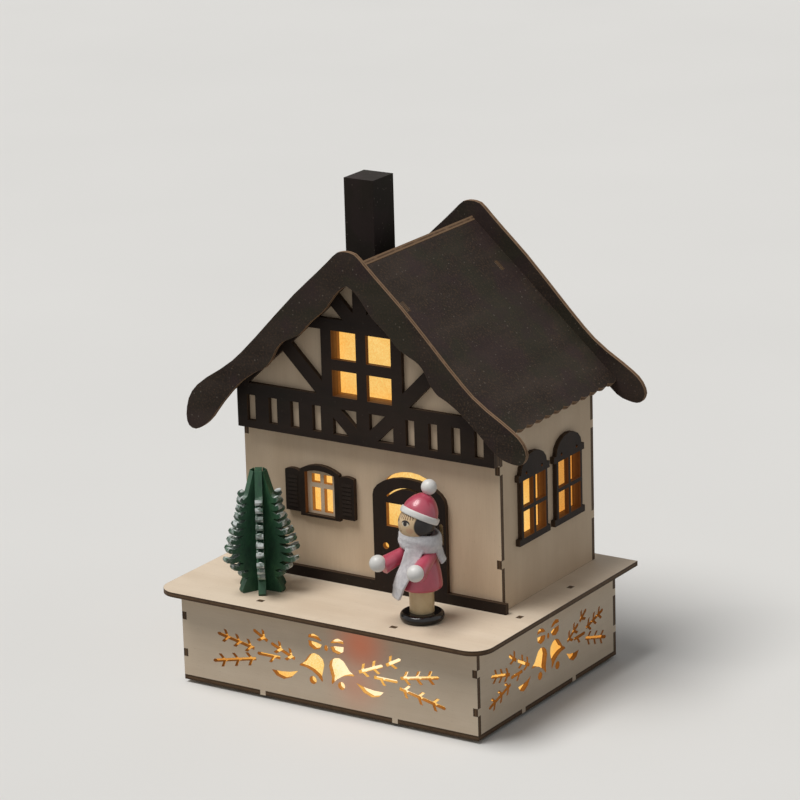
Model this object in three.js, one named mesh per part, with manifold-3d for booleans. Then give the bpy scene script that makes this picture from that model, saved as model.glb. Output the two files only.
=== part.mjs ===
// A lit wooden house on a box base: laser-cut plywood boards with tab joints, stained overlays,
// a paper liner behind the openings, a battery light inside, and a tree and a turned figure on the deck.
// Millimetres, +Z up, front towards -Y. The origin is on the table, under the middle of the object.
import * as THREE from 'three';
import { mergeVertices } from 'three/addons/utils/BufferGeometryUtils.js';
import Module from 'manifold-3d';

const wasm = await Module();
wasm.setup();

// Sheet and fits
const ply = 3;
const slotClear = 0.15;
const glueGap = 0.3;
const linerThickness = 0.8;

// Box base and deck
const houseSideMargin = 14;
const yardDepth = 52;
const basePanelHeight = 53;
const deckSideOverhang = 10.5;
const deckFrontOverhang = 12;
const deckBackOverhang = 9;
const deckCornerRadius = 13;
const baseTabWidth = 4;
const baseTabSpread = 93.2;
const baseSideTabSpread = 58.2;
const baseCornerTabHeight = 4.5;
const baseCornerTabLow = 14.2;
const baseCornerTabHigh = 37.6;
const footRadius = 6;
const footSides = 16;
const footHeight = 2;
const footInset = 16;

// House walls
const houseWidth = 179;
const houseDepth = 107;
const sideWallHeight = 115.5;
const houseTabWidth = 8;
const houseTabSpread = 128;
const sideWallTabSpread = 50;
const houseCornerTabHeight = 5;
const houseCornerTabLow = 29;
const houseCornerTabHigh = 86;

// Roof
const roofPitch = THREE.MathUtils.degToRad(42);
const eavesOverhang = 11.6;
const roofFrontOverhang = 15.4;
const roofBackOverhang = 12;
const roofTabFromApex = 33.5;
const roofTabWidth = 7;
const scallopPitch = 10.3;
const scallopDepth = 1.6;

// Bargeboards: drawn for this half width of house, and stretched with the real one. Points are the reach
// to one side and the height above the line of the roof's underside. The left tip hangs lower.
const bargeDrawnHalf = 89.5;
const bargeOuter = [[6, 17.8], [13, 17.7], [21, 17.4], [40, 17], [70, 13], [86, 12.8]];
const bargeTips = {
  right: [[106, 18.4], [114.5, 19.6], [118.3, 16], [117, 9.7], [113.6, 4.3], [107.5, -0.8], [100, -5],
    [92, -5.2]],
  left: [[106, 17.6], [115, 16], [118.3, 8], [117.4, -0.7], [112.6, -7.4], [106.8, -10.2], [100, -10.4],
    [92, -7.2]],
};
const bargeInner = [
  [80, -4.9], [72, -5.8], [65, -7.8], [60.5, -9.8], [57.3, -9.7], [54.6, -8.3], [52.4, -5.9], [50, -4.5],
  [46.5, -4.4], [41.5, -6.5], [36, -8.6], [32.5, -9.1], [27, -8], [20, -8.4], [15.5, -8.4], [8, -5.4],
  [3.5, -5.6],
];
const bargeApex = 13.5;
const bargeInnerApex = -7;

// Chimney
const chimneyWidth = 20.5;
const chimneyDepth = 22;
const chimneyFromRidge = 29.2;
const chimneyAboveApex = 40.5;

// Timber overlay on the gable
const railBelowEaves = 25.9;
const railHeight = 28;
const railSlotWidth = 6;
const railSlotHeight = 16;
const railSlotDrop = 1.4;
const railSlotFirst = 32.6;
const railSlotFromEnd = 10;
const railSlotCount = 4;
const motifInner = 4.5;
const motifOuter = 21;
const motifBeam = 5.5;
const paneBarWidth = 7;
const paneLowHeight = 16;
const paneHighHeight = 17.4;
const paneCrossHeight = 6.6;
const gablePostWidth = 7.3;
const collarHeight = 7;
const rafterWidth = 4;
const braceWidth = 8.6;
const braceRise = 8;
const braceHead = 8.8;
const kingPostWidth = 9.4;
const kingBraceRise = 5.1;
const kingRafterWidth = 1.6;

// Front window with shutters, heights above the deck
const windowAcross = -34.4;
const windowFrameWidth = 28;
const windowFrameBottom = 39;
const windowFrameSide = 29;
const windowArchRise = 4;
const windowFrameBorder = 3.5;
const windowSillHeight = 1.5;
const sashMargin = 3.2;
const sashBar = 2.6;
const sashLowPane = 14.8;
const sashHighPane = 5.5;
const sashCrossBar = 3;
const shutterWidth = 10.5;
const shutterHeight = 25.4;
const shutterArchRise = 1.2;
const shutterLift = 2;

// Door board over its arched opening, heights above the deck
const doorAcross = 28.4;
const doorWidth = 50.5;
const doorSpring = 59.9;
const doorArchRise = 13;
const doorWindowWidth = 31.6;
const doorWindowHeight = 14.5;
const doorWindowSill = 41.9;
const doorArcRadius = 21.5;
const doorArcSpread = 15.4;
const doorArcTop = 67.2;
const doorArcGroove = 1;
const knobHoleRadius = 2.1;
const knobHoleFromEdge = 8.5;
const knobHoleHeight = 29.3;
const doorwayWidth = 44;
const doorwayRise = 17.2;
const doorwaySpring = 59.1;
const doorwayStep = 6;
const skirtingHeight = 6.5;
const skirtingPastWall = 4;

// Side windows, heights above the deck
const sideWindowSpread = 40.2;
const sideWindowWidth = 29.5;
const sideWindowJamb = 2;
const sideWindowBar = 2.4;
const sideWindowSill = 35.8;
const sideWindowSillHeight = 4;
const sideWindowPane = 35;
const sideWindowLedge = 4;
const sideWindowLedgeOut = 2.7;
const sideWindowArchRise = 11;
const sideWindowDotRadius = 1.1;
const sideWindowDotSpread = 17.6;

// Paper liners
const houseLinerGap = 4;
const houseLinerRoofGap = 4;
const baseLinerGap = 1.2;
const linerEndGap = 2;

// Battery case in the back of the base
const cellDiameter = 14.5;
const cellLength = 49.2;
const cellNubRadius = 2.7;
const cellNubLength = 1.1;
const cellCount = 2;
const cellGap = 0.4;
const caseWall = 1.6;
const caseFlange = 2.4;
const caseFlangeThickness = 1.5;
const caseFit = 0.3;
const contactThickness = 0.7;
const contactSpring = 3;
const contactSpringRadius = 4;
const coverThickness = 1.8;
const coverGap = 0.3;
const coverOverlap = 1.6;
const coverPinRadius = 0.8;
const coverPinLength = 2.4;
const coverLugHeight = 3;
const coverLugWall = 1.2;
const coverPinClear = 0.3;
const sliderLength = 6.5;
const sliderWidth = 4.4;
const sliderProud = 2.2;
const sliderDepth = 4;
const sliderTravel = 4;
const sliderClear = 0.3;
const switchBay = 15;

// Light boards under the deck
const boardWidth = 60;
const houseBoardDepth = 36;
const baseBoardDepth = 14;
const baseBoardFromFront = 24;
const boardThickness = 1.6;
const lightWellBorder = 7;
const ledRadius = 2.5;
const ledHeight = 8.6;
const ledFlangeRadius = 2.9;
const ledFlangeHeight = 1;
const baseLampSpread = 44;
const leadRadius = 1.1;
const leadEndStraight = 4;
const leadSag = 5;

// Tree of three lapped planks
const treeAcross = -58.2;
const treeFromYardMid = 0.7;
const treeTurn = THREE.MathUtils.degToRad(3);
const treePlank = 4.4;
const treeHeight = 74;
const treePlankCount = 3;

// Turned figure, heights above the deck
const figureAcross = 54.2;
const figureFromYardMid = 0.5;
const figureTurn = THREE.MathUtils.degToRad(-9);
const figureHeadTurn = THREE.MathUtils.degToRad(-21);
const figureSides = 20;
const discSides = 24;
const limbSides = 14;
const discRadius = 13.1;
const discHeight = 5.4;
const discEdgeSteps = 6;
const legRadius = 7.3;
const coatHem = 20;
const coatHemRadius = 12;
const coatWidest = 12.4;
const coatSide = [[coatWidest, 22.6], [11.5, 30], [9.5, 38], [7, 44], [5.5, 47]];
const coatTop = 50.4;
const headRadius = 10.8;
const headForward = 1.6;
const capTilt = THREE.MathUtils.degToRad(23);
const capBrimLow = 2.2;
const capBrimHigh = 5.8;
const capBrimRadius = 11.8;
const capBrimRound = 0.4;
const capCrown = [[10.5, 5.9], [10.2, 8.2], [8.9, 11.3], [6.7, 14.6], [4.1, 16.8], [2.3, 17.8]];
const pompomRadius = 4.6;
const pompomFlat = 3.7;
const handRadius = 5;
const handForward = 21;
const handSideways = 14.4;
const handHeight = 37;
const shoulderSideways = 7.5;
const shoulderHeight = 41;
const shoulderRadius = 4;
const cuffRadius = 5.2;
const cuffLength = 1;
const cuffDrop = 3;
const cuffBack = 3;
const scarfBelowHead = 4.9;
const scarfUpHead = 4.6;
const scarfRadius = 11.8;
const scarfEdgeIn = 1;
const scarfEdgeRound = 0.6;
const scarfFlat = 3.2;
const scarfWidth = 10.4;
const scarfThickness = 1.6;
const scarfRingThickness = 2.2;
const scarfTuck = 3.5;
const scarfStandOff = 1.4;
const scarfTailStart = THREE.MathUtils.degToRad(30);
const scarfTailEnd = THREE.MathUtils.degToRad(-30);
const scarfBackStart = THREE.MathUtils.degToRad(116);
const scarfBackEnd = THREE.MathUtils.degToRad(122);
const scarfTailLow = 15.4;
const scarfBackLow = 37;
const braidRadius = 1.6;
const braidWaist = 1.1;
const braidTwists = 5;
const braidLength = 12;

// Places worked out from the sizes above
const bothSides = [-1, 1];
const baseWidth = houseWidth + 2 * houseSideMargin;
const baseDepth = houseDepth + yardDepth;
const depthCentre = (baseDepth + roofBackOverhang + ply - deckFrontOverhang) / 2;
const baseFront = -depthCentre;
const baseBack = baseFront + baseDepth;
const baseMid = (baseFront + baseBack) / 2;
const baseHalf = baseWidth / 2;
const panelBottom = footHeight + ply;
const deckBottom = panelBottom + basePanelHeight;
const deckTop = deckBottom + ply;
const houseBack = baseBack;
const houseFront = houseBack - houseDepth;
const houseMid = (houseFront + houseBack) / 2;
const yardMid = (baseFront - deckFrontOverhang + houseFront) / 2;
const houseHalf = houseWidth / 2;
const wallTop = deckTop + sideWallHeight;
const pitchCos = Math.cos(roofPitch);
const pitchSin = Math.sin(roofPitch);
const pitchTan = Math.tan(roofPitch);
const gableTop = wallTop + houseHalf * pitchTan;
const roofApex = gableTop + glueGap / pitchCos;
const gableEdge = houseHalf / pitchCos;
const roofSlope = gableEdge + eavesOverhang;
const roofFront = houseFront - roofFrontOverhang;
const roofBack = houseBack + roofBackOverhang;

const finishes = {
  birch: { color: 0xd8c3a1, roughness: 0.72, metalness: 0 },
  stain: { color: 0x2e221d, roughness: 0.68, metalness: 0 },
  liner: { color: 0xf6dfae, roughness: 0.8, metalness: 0 },
  felt: { color: 0x4a4742, roughness: 0.95, metalness: 0 },
  plastic: { color: 0x1e1f21, roughness: 0.5, metalness: 0 },
  cell: { color: 0x3f6f4f, roughness: 0.35, metalness: 0.1 },
  steel: { color: 0xb9bcc0, roughness: 0.3, metalness: 1 },
  lamp: { color: 0xfff0c8, roughness: 0.15, metalness: 0 },
  circuit: { color: 0x2f6b45, roughness: 0.45, metalness: 0 },
  lead: { color: 0x27272a, roughness: 0.55, metalness: 0 },
  fir: { color: 0x1f4a30, roughness: 0.6, metalness: 0 },
  black: { color: 0x151314, roughness: 0.18, metalness: 0 },
  cream: { color: 0xe9d9bd, roughness: 0.35, metalness: 0 },
  pink: { color: 0xb8465f, roughness: 0.25, metalness: 0 },
  skin: { color: 0xe0bd92, roughness: 0.4, metalness: 0 },
  white: { color: 0xf1efec, roughness: 0.5, metalness: 0 },
  scarf: { color: 0xe8e6ea, roughness: 0.95, metalness: 0 },
  hair: { color: 0x2a2019, roughness: 0.8, metalness: 0 },
};

const house = new THREE.Group();

function addPiece(name, geometry, finish, group = house) {
  const mesh = new THREE.Mesh(closedSurface(geometry), new THREE.MeshStandardMaterial(finishes[finish]));
  mesh.name = name;
  group.add(mesh);
  return mesh;
}

// Closed surfaces and joins

function closedSurface(geometry) {
  const bare = geometry.clone();
  bare.deleteAttribute('normal');
  bare.deleteAttribute('uv');
  const merged = mergeVertices(bare);
  const place = merged.attributes.position;
  const corners = merged.index.array;
  const kept = [];
  let volume = 0;
  const [a, b, c] = [new THREE.Vector3(), new THREE.Vector3(), new THREE.Vector3()];
  for (let i = 0; i < corners.length; i += 3) {
    const [p, q, r] = corners.slice(i, i + 3);
    if (p === q || q === r || r === p) continue;
    kept.push(p, q, r);
    a.fromBufferAttribute(place, p);
    b.fromBufferAttribute(place, q);
    c.fromBufferAttribute(place, r);
    volume += a.dot(b.cross(c));
  }
  if (volume < 0) kept.reverse();
  merged.setIndex(kept);
  return merged;
}

function solid(geometry) {
  const surface = closedSurface(geometry);
  return new wasm.Manifold(new wasm.Mesh({
    numProp: 3,
    vertProperties: new Float32Array(surface.attributes.position.array),
    triVerts: new Uint32Array(surface.index.array),
  }));
}

function surfaceOf(body) {
  const mesh = body.getMesh();
  const geometry = new THREE.BufferGeometry();
  geometry.setAttribute('position', new THREE.BufferAttribute(mesh.vertProperties, 3));
  geometry.setIndex([...mesh.triVerts]);
  return geometry;
}

function joined(geometries) {
  return geometries.map(solid).reduce((whole, next) => whole.add(next));
}

function cutAway(geometry, cutters) {
  return cutters.map(solid).reduce((whole, next) => whole.subtract(next), solid(geometry));
}

function box(low, high) {
  const size = high.map((value, i) => value - low[i]);
  const geometry = new THREE.BoxGeometry(...size);
  return geometry.translate(...low.map((value, i) => value + size[i] / 2));
}

// Outlines

function outlineOf(points) {
  return new THREE.Shape(points.map(([x, y]) => new THREE.Vector2(x, y)));
}

function holeOf(points) {
  return new THREE.Path(points.map(([x, y]) => new THREE.Vector2(x, y)));
}

function rectangle(left, bottom, right, top) {
  return [[left, bottom], [right, bottom], [right, top], [left, top]];
}

function rectangleAt(x, y, width, height) {
  return rectangle(x - width / 2, y - height / 2, x + width / 2, y + height / 2);
}

function roundHole(x, y, radius) {
  const path = new THREE.Path();
  path.absarc(x, y, radius, 0, 2 * Math.PI, true);
  return path;
}

// Corners run anticlockwise. A tab stands out from its edge, and a negative depth makes a notch.
function tabbedPoints(corners, tabsOfEdges) {
  const points = [];
  corners.forEach((start, i) => {
    const end = corners[(i + 1) % corners.length];
    const length = Math.hypot(end[0] - start[0], end[1] - start[1]);
    const along = [(end[0] - start[0]) / length, (end[1] - start[1]) / length];
    const out = [along[1], -along[0]];
    points.push(start);
    for (const { at, width, depth } of tabsOfEdges[i] ?? []) {
      const [from, to] = [at - width / 2, at + width / 2];
      const steps = [[from, 0], [from, depth], [to, depth], [to, 0]];
      for (const [s, d] of steps) {
        points.push([start[0] + along[0] * s + out[0] * d, start[1] + along[1] * s + out[1] * d]);
      }
    }
  });
  return points;
}

function pairOfTabs(edgeLength, spread, width, depth) {
  return [-1, 1].map((side) => ({ at: edgeLength / 2 + side * spread / 2, width, depth }));
}

function pairOfNotches(edgeLength, spread, width) {
  return pairOfTabs(edgeLength, spread, width + 2 * slotClear, -(ply + slotClear));
}

function tabsAtHeights(heights, width, depth) {
  return heights.map((at) => ({ at, width, depth }));
}

function tabsDownEdge(edgeLength, tabs) {
  return tabs.map((tab) => ({ ...tab, at: edgeLength - tab.at })).reverse();
}

// Boards are sawn from an outline, and their openings are cut right through

function sawn(outline, thickness, curveSegments) {
  const flat = (path, depth) => new THREE.ExtrudeGeometry(
    new THREE.Shape(path.getPoints(curveSegments)), { depth, bevelEnabled: false });
  const cutters = outline.holes.map((hole) => flat(hole, 3 * thickness).translate(0, 0, -thickness));
  return surfaceOf(cutAway(flat(outline, thickness), cutters));
}

function boardAcross(outline, front, thickness = ply, curveSegments = 6) {
  const board = sawn(outline, thickness, curveSegments);
  return board.rotateX(Math.PI / 2).translate(0, front + thickness, 0);
}

const depthwise = new THREE.Matrix4().makeBasis(
  new THREE.Vector3(0, 1, 0),
  new THREE.Vector3(0, 0, 1),
  new THREE.Vector3(1, 0, 0),
);

function boardAlong(outline, left, thickness = ply, curveSegments = 6) {
  return sawn(outline, thickness, curveSegments).applyMatrix4(depthwise).translate(left, 0, 0);
}

function boardFlat(outline, bottom, thickness = ply, curveSegments = 6) {
  return sawn(outline, thickness, curveSegments).translate(0, 0, bottom);
}

// Turned pieces: the profile is radius and height, from axis to axis
function turned(profile, sides) {
  const points = profile.map(([radius, height]) => new THREE.Vector2(radius, height));
  return new THREE.LatheGeometry(points, sides).rotateX(Math.PI / 2);
}

function ballProfile(radius, centre, low, high, steps) {
  const angleAt = (height) => Math.asin(THREE.MathUtils.clamp((height - centre) / radius, -1, 1));
  const start = angleAt(low);
  const end = angleAt(high);
  return Array.from({ length: steps + 1 }, (_, i) => {
    const angle = start + (end - start) * i / steps;
    return [radius * Math.cos(angle), centre + radius * Math.sin(angle)];
  });
}

// Cut-out ornament of two bells, a bow, ribbon ends and fir twigs

const bellTilt = THREE.MathUtils.degToRad(26);
const bellMouth = [11.4, 20.2];
const bellHalf = [[8.8, 0], [8.6, 1.3], [7, 3.6], [6.3, 7.4], [5.6, 10.6], [3.4, 13.2]];
const bellHeight = 14;
const bellLipRise = 2.2;
const bellLipQuarter = 1.65;
const clapperAt = [10, 16.4];
const clapperRadius = 2.5;
const knotSize = [1.3, 1.8];
const knotHeight = 38.2;
const bowUpper = [[3, 42], [5.4, 44.4], [8.6, 45.6], [12, 44.6], [12.4, 42.8], [8.4, 43], [5.6, 42.2]];
const bowLower = [[3, 39.6], [6.6, 40.5], [12.4, 41], [12, 37.8], [8.6, 35.8], [4.6, 36.8]];
const ribbonUpper = [[20.5, 20.2], [26, 18.6], [32.5, 17.8], [39.4, 17.8]];
const ribbonLower = [[36, 14.4], [31, 13.2], [25.6, 15.2]];
const twigStem = 1;
const needleWidth = 1.7;
const needleLength = 3.7;
const needleLean = THREE.MathUtils.degToRad(56);
const needleFirst = 0.28;
const twigStarts = [[23.5, 27.8], [42.6, 35.6], [52.4, 29], [51.5, 22.2], [34, 26.2]];
const twigEnds = [[38.5, 34], [51, 40.2], [77, 33.8], [81, 15.8], [48.6, 26.2]];
const needleCounts = [2, 1, 3, 3, 1];
const needleSides = [bothSides, bothSides, bothSides, bothSides, [-1]];

function bellPoints() {
  const right = bellHalf.map(([x, y]) => [x, y]);
  const left = bellHalf.map(([x, y]) => [-x, y]).reverse();
  const local = [...right, [0, bellHeight], ...left, [-bellHalf[0][0] / 2, bellLipQuarter],
    [0, bellLipRise], [bellHalf[0][0] / 2, bellLipQuarter]];
  return local.map(([x, y]) => [
    bellMouth[0] + x * Math.cos(bellTilt) - y * Math.sin(bellTilt),
    bellMouth[1] + x * Math.sin(bellTilt) + y * Math.cos(bellTilt),
  ]);
}

function twigPoints(from, to, count, sides) {
  const length = Math.hypot(to[0] - from[0], to[1] - from[1]);
  const along = [(to[0] - from[0]) / length, (to[1] - from[1]) / length];
  const stations = Array.from({ length: count }, (_, i) => length * (i + needleFirst) / count);
  const halfBase = needleWidth / 2 / Math.sin(needleLean);
  const reach = [needleLength * Math.cos(needleLean), needleLength * Math.sin(needleLean)];
  const oneSide = (side) => (sides.includes(side) ? stations : []).flatMap((s) => [
    [s - halfBase, side * twigStem],
    [s - halfBase + reach[0], side * (twigStem + reach[1])],
    [s + halfBase + reach[0], side * (twigStem + reach[1])],
    [s + halfBase, side * twigStem],
  ]);
  const local = [[-twigStem, -twigStem], ...oneSide(-1), [length, -twigStem], [length + twigStem, 0],
    [length, twigStem], ...oneSide(1).reverse(), [-twigStem, twigStem]];
  return local.map(([s, d]) => [
    from[0] + along[0] * s - along[1] * d,
    from[1] + along[1] * s + along[0] * d,
  ]);
}

// The twigs start beyond the ribbon and are drawn in by the share given as reach
function ornamentHoles(centre, floor, reach) {
  const start = ribbonUpper[0][0];
  const drawIn = ([x, y]) => [x > start ? start + (x - start) * reach : x, y];
  const oneSide = [bellPoints(), bowUpper, bowLower, [...ribbonUpper, ...ribbonLower].map(drawIn)];
  twigStarts.forEach((from, i) => {
    oneSide.push(twigPoints(drawIn(from), drawIn(twigEnds[i]), needleCounts[i], needleSides[i]));
  });
  const place = (side, [x, y]) => [centre + side * x, floor + y];
  const holes = bothSides.flatMap((side) => (
    oneSide.map((points) => holeOf(points.map((point) => place(side, point))))
  ));
  for (const side of bothSides) {
    holes.push(roundHole(...place(side, clapperAt), clapperRadius));
  }
  const knot = new THREE.Path();
  knot.absellipse(centre, floor + knotHeight, ...knotSize, 0, 2 * Math.PI, true);
  return [...holes, knot];
}

// Box base

const cornerHeights = [baseCornerTabLow, baseCornerTabHigh];
const cornerTabs = tabsAtHeights(cornerHeights, baseCornerTabHeight, ply);
const cornerNotches = tabsAtHeights(cornerHeights, baseCornerTabHeight + 2 * slotClear, -(ply + slotClear));
const sidePanelLength = baseDepth - 2 * ply;

function widePanelOutline() {
  const upDown = pairOfTabs(baseWidth, baseTabSpread, baseTabWidth, ply);
  return outlineOf(tabbedPoints(
    rectangle(-baseHalf, panelBottom, baseHalf, deckBottom),
    [upDown, cornerNotches, upDown, tabsDownEdge(basePanelHeight, cornerNotches)],
  ));
}

function sidePanelOutline() {
  const upDown = pairOfTabs(sidePanelLength, baseSideTabSpread, baseTabWidth, ply);
  return outlineOf(tabbedPoints(
    rectangle(baseFront + ply, panelBottom, baseBack - ply, deckBottom),
    [upDown, cornerTabs, upDown, tabsDownEdge(basePanelHeight, cornerTabs)],
  ));
}

const cellPitch = cellDiameter + cellGap;
const bayLength = cellLength + cellNubLength + 2 * contactThickness + contactSpring + 2 * cellGap;
const bayHeight = cellCount * cellPitch + cellGap;
const bayDepth = cellDiameter + 2 * cellGap;
const caseWidth = bayLength + switchBay + 2 * caseWall;
const caseHeight = bayHeight + 2 * caseWall;
const caseLeft = -caseWidth / 2;
const caseMidZ = (panelBottom + deckBottom) / 2;
const caseFront = baseBack - bayDepth - caseWall;
const flangeBack = baseBack + caseFlangeThickness;
const bayLeft = caseLeft + caseWall;
const bayRight = bayLeft + bayLength;
const bayBottom = caseMidZ - bayHeight / 2;

function addBase() {
  const ornamentFloor = footHeight;
  const front = widePanelOutline();
  front.holes.push(...ornamentHoles(0, ornamentFloor, 1));
  addPiece('base_front_panel', boardAcross(front, baseFront), 'birch');

  const back = widePanelOutline();
  back.holes.push(holeOf(rectangleAt(0, caseMidZ, caseWidth + 2 * caseFit, caseHeight + 2 * caseFit)));
  addPiece('base_back_panel', boardAcross(back, baseBack - ply), 'birch');

  const twigReach = sidePanelLength / (baseWidth - 2 * ply);
  for (const [name, left] of [['base_left_panel', -baseHalf], ['base_right_panel', baseHalf - ply]]) {
    const panel = sidePanelOutline();
    panel.holes.push(...ornamentHoles(baseMid, ornamentFloor, twigReach));
    addPiece(name, boardAlong(panel, left), 'birch');
  }

  const wideNotches = pairOfNotches(baseWidth, baseTabSpread, baseTabWidth);
  const sideNotches = pairOfNotches(baseDepth, baseSideTabSpread, baseTabWidth);
  const bottom = outlineOf(tabbedPoints(
    rectangle(-baseHalf, baseFront, baseHalf, baseBack),
    [wideNotches, sideNotches, wideNotches, sideNotches],
  ));
  addPiece('base_bottom_board', boardFlat(bottom, footHeight), 'birch');

  const footX = baseHalf - footInset;
  const footY = baseDepth / 2 - footInset;
  for (const [end, y] of [['front', baseMid - footY], ['back', baseMid + footY]]) {
    for (const [side, x] of [['left', -footX], ['right', footX]]) {
      const foot = new THREE.CylinderGeometry(footRadius, footRadius, footHeight, footSides);
      const pad = addPiece(`foot_${end}_${side}`, foot.rotateX(Math.PI / 2), 'felt');
      pad.position.set(x, y, footHeight / 2);
    }
  }

  const liner = bothSides.map((side) => side * (baseHalf - ply - baseLinerGap));
  const linerFront = baseFront + ply + baseLinerGap;
  const linerBack = baseBack - ply - linerEndGap;
  const inner = linerThickness;
  const plan = outlineOf([
    [liner[0], linerFront], [liner[1], linerFront], [liner[1], linerBack], [liner[1] - inner, linerBack],
    [liner[1] - inner, linerFront + inner], [liner[0] + inner, linerFront + inner],
    [liner[0] + inner, linerBack], [liner[0], linerBack],
  ]);
  addPiece('base_liner', boardFlat(plan, panelBottom, basePanelHeight - linerEndGap), 'liner');
}

// Deck with slots for every tab, and a light well under the house

const lightMid = houseMid;

function addDeck() {
  const half = baseHalf + deckSideOverhang;
  const front = baseFront - deckFrontOverhang;
  const back = baseBack + deckBackOverhang;
  const deck = new THREE.Shape();
  deck.moveTo(half, back);
  deck.lineTo(-half, back);
  const corner = [half - deckCornerRadius, front + deckCornerRadius];
  deck.absarc(-corner[0], corner[1], deckCornerRadius, Math.PI, 1.5 * Math.PI, false);
  deck.absarc(corner[0], corner[1], deckCornerRadius, 1.5 * Math.PI, 2 * Math.PI, false);
  deck.closePath();
  const slot = (x, y, width, height) => {
    deck.holes.push(holeOf(rectangleAt(x, y, width + 2 * slotClear, height + 2 * slotClear)));
  };
  for (const side of bothSides) {
    slot(side * baseTabSpread / 2, baseFront + ply / 2, baseTabWidth, ply);
    slot(side * baseTabSpread / 2, baseBack - ply / 2, baseTabWidth, ply);
    slot(side * houseTabSpread / 2, houseFront + ply / 2, houseTabWidth, ply);
    slot(side * houseTabSpread / 2, houseBack - ply / 2, houseTabWidth, ply);
    for (const end of bothSides) {
      slot(side * (baseHalf - ply / 2), baseMid + end * baseSideTabSpread / 2, ply, baseTabWidth);
      slot(side * (houseHalf - ply / 2), houseMid + end * sideWallTabSpread / 2, ply, houseTabWidth);
    }
  }
  const well = [boardWidth - 2 * lightWellBorder, houseBoardDepth - 2 * lightWellBorder];
  deck.holes.push(holeOf(rectangleAt(0, lightMid, ...well)));
  addPiece('deck', boardFlat(deck, deckBottom, ply, 5), 'birch');
}

// House walls

const wallHeights = [houseCornerTabLow, houseCornerTabHigh];
const wallTabs = tabsAtHeights(wallHeights, houseCornerTabHeight, ply);
const wallNotches = tabsAtHeights(wallHeights, houseCornerTabHeight + 2 * slotClear, -(ply + slotClear));

function gableOutline() {
  const roofTab = (at) => [{ at, width: roofTabWidth, depth: glueGap + ply }];
  return outlineOf(tabbedPoints(
    [[-houseHalf, deckTop], [houseHalf, deckTop], [houseHalf, wallTop], [0, gableTop], [-houseHalf, wallTop]],
    [
      pairOfTabs(houseWidth, houseTabSpread, houseTabWidth, ply),
      wallNotches,
      roofTab(gableEdge - roofTabFromApex),
      roofTab(roofTabFromApex),
      tabsDownEdge(sideWallHeight, wallNotches),
    ],
  ));
}

// How far out the gable's edge is at a height, less an inset square to the edge
const gableOut = (z, inset) => (gableTop - inset / pitchCos - z) / pitchTan;
const railBottom = wallTop - railBelowEaves;
const railTop = railBottom + railHeight;
const paneHeight = paneLowHeight + paneCrossHeight + paneHighHeight;
const collarLow = railTop + paneHeight;
const postOut = gableOut(collarLow, rafterWidth) - braceHead;
const paneHalf = postOut - gablePostWidth;
const gableWindow = () => holeOf(rectangle(-paneHalf, railTop, paneHalf, collarLow));
const sashWidth = windowFrameWidth - 2 * windowFrameBorder;
const sashPane = (sashWidth - 2 * sashMargin - sashBar) / 2;
const sashBottom = deckTop + windowFrameBottom + windowSillHeight + sashMargin / 2;

function doorway() {
  const path = new THREE.Path();
  const half = doorwayWidth / 2;
  path.moveTo(doorAcross - half, deckTop + doorwayStep);
  path.lineTo(doorAcross - half, deckTop + doorwaySpring);
  path.absellipse(doorAcross, deckTop + doorwaySpring, half, doorwayRise, Math.PI, 0, true);
  path.lineTo(doorAcross + half, deckTop + doorwayStep);
  path.closePath();
  return path;
}

function addWalls() {
  const front = gableOutline();
  front.holes.push(doorway());
  front.holes.push(gableWindow());
  for (const side of bothSides) {
    const middle = windowAcross + side * (sashBar + sashPane) / 2;
    const [left, right] = [middle - sashPane / 2, middle + sashPane / 2];
    const high = sashBottom + sashLowPane + sashCrossBar;
    front.holes.push(holeOf(rectangle(left, sashBottom, right, sashBottom + sashLowPane)));
    front.holes.push(holeOf(rectangle(left, high, right, high + sashHighPane)));
  }
  addPiece('house_front_wall', boardAcross(front, houseFront), 'birch');
  addPiece('house_back_wall', boardAcross(gableOutline(), houseBack - ply), 'birch');

  const deckTabs = pairOfTabs(houseDepth - 2 * ply, sideWallTabSpread, houseTabWidth, ply);
  for (const [name, left] of [['house_left_wall', -houseHalf], ['house_right_wall', houseHalf - ply]]) {
    const wall = outlineOf(tabbedPoints(
      rectangle(houseFront + ply, deckTop, houseBack - ply, wallTop),
      [deckTabs, wallTabs, [], tabsDownEdge(sideWallHeight, wallTabs)],
    ));
    for (const end of bothSides) {
      const middle = houseMid + end * sideWindowSpread / 2;
      const half = sideWindowWidth / 2 - sideWindowJamb;
      const sill = deckTop + sideWindowSill + sideWindowSillHeight;
      wall.holes.push(holeOf(rectangle(middle - half, sill, middle + half, sill + sideWindowPane)));
    }
    addPiece(name, boardAlong(wall, left), 'birch');
  }
}

// Paper liner folded round three sides of the house, rising into the front gable
function addHouseLiner() {
  const half = houseHalf - ply - houseLinerGap;
  const front = houseFront + ply + houseLinerGap;
  const back = houseBack - ply - linerEndGap;
  const eaves = wallTop - houseLinerRoofGap;
  const peak = eaves + half * pitchTan;
  const sheet = outlineOf([[-half, deckTop], [half, deckTop], [half, eaves], [0, peak], [-half, eaves]]);
  const sheets = [boardAcross(sheet, front, linerThickness)];
  for (const side of bothSides) {
    const inner = side * (half - linerThickness);
    const [low, high] = [inner, side * half].sort((a, b) => a - b);
    sheets.push(box([low, front, deckTop], [high, back, eaves]));
  }
  addPiece('house_liner', surfaceOf(joined(sheets)), 'liner');
}

// Roof panels: the left one laps over the top edge of the right one

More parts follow.
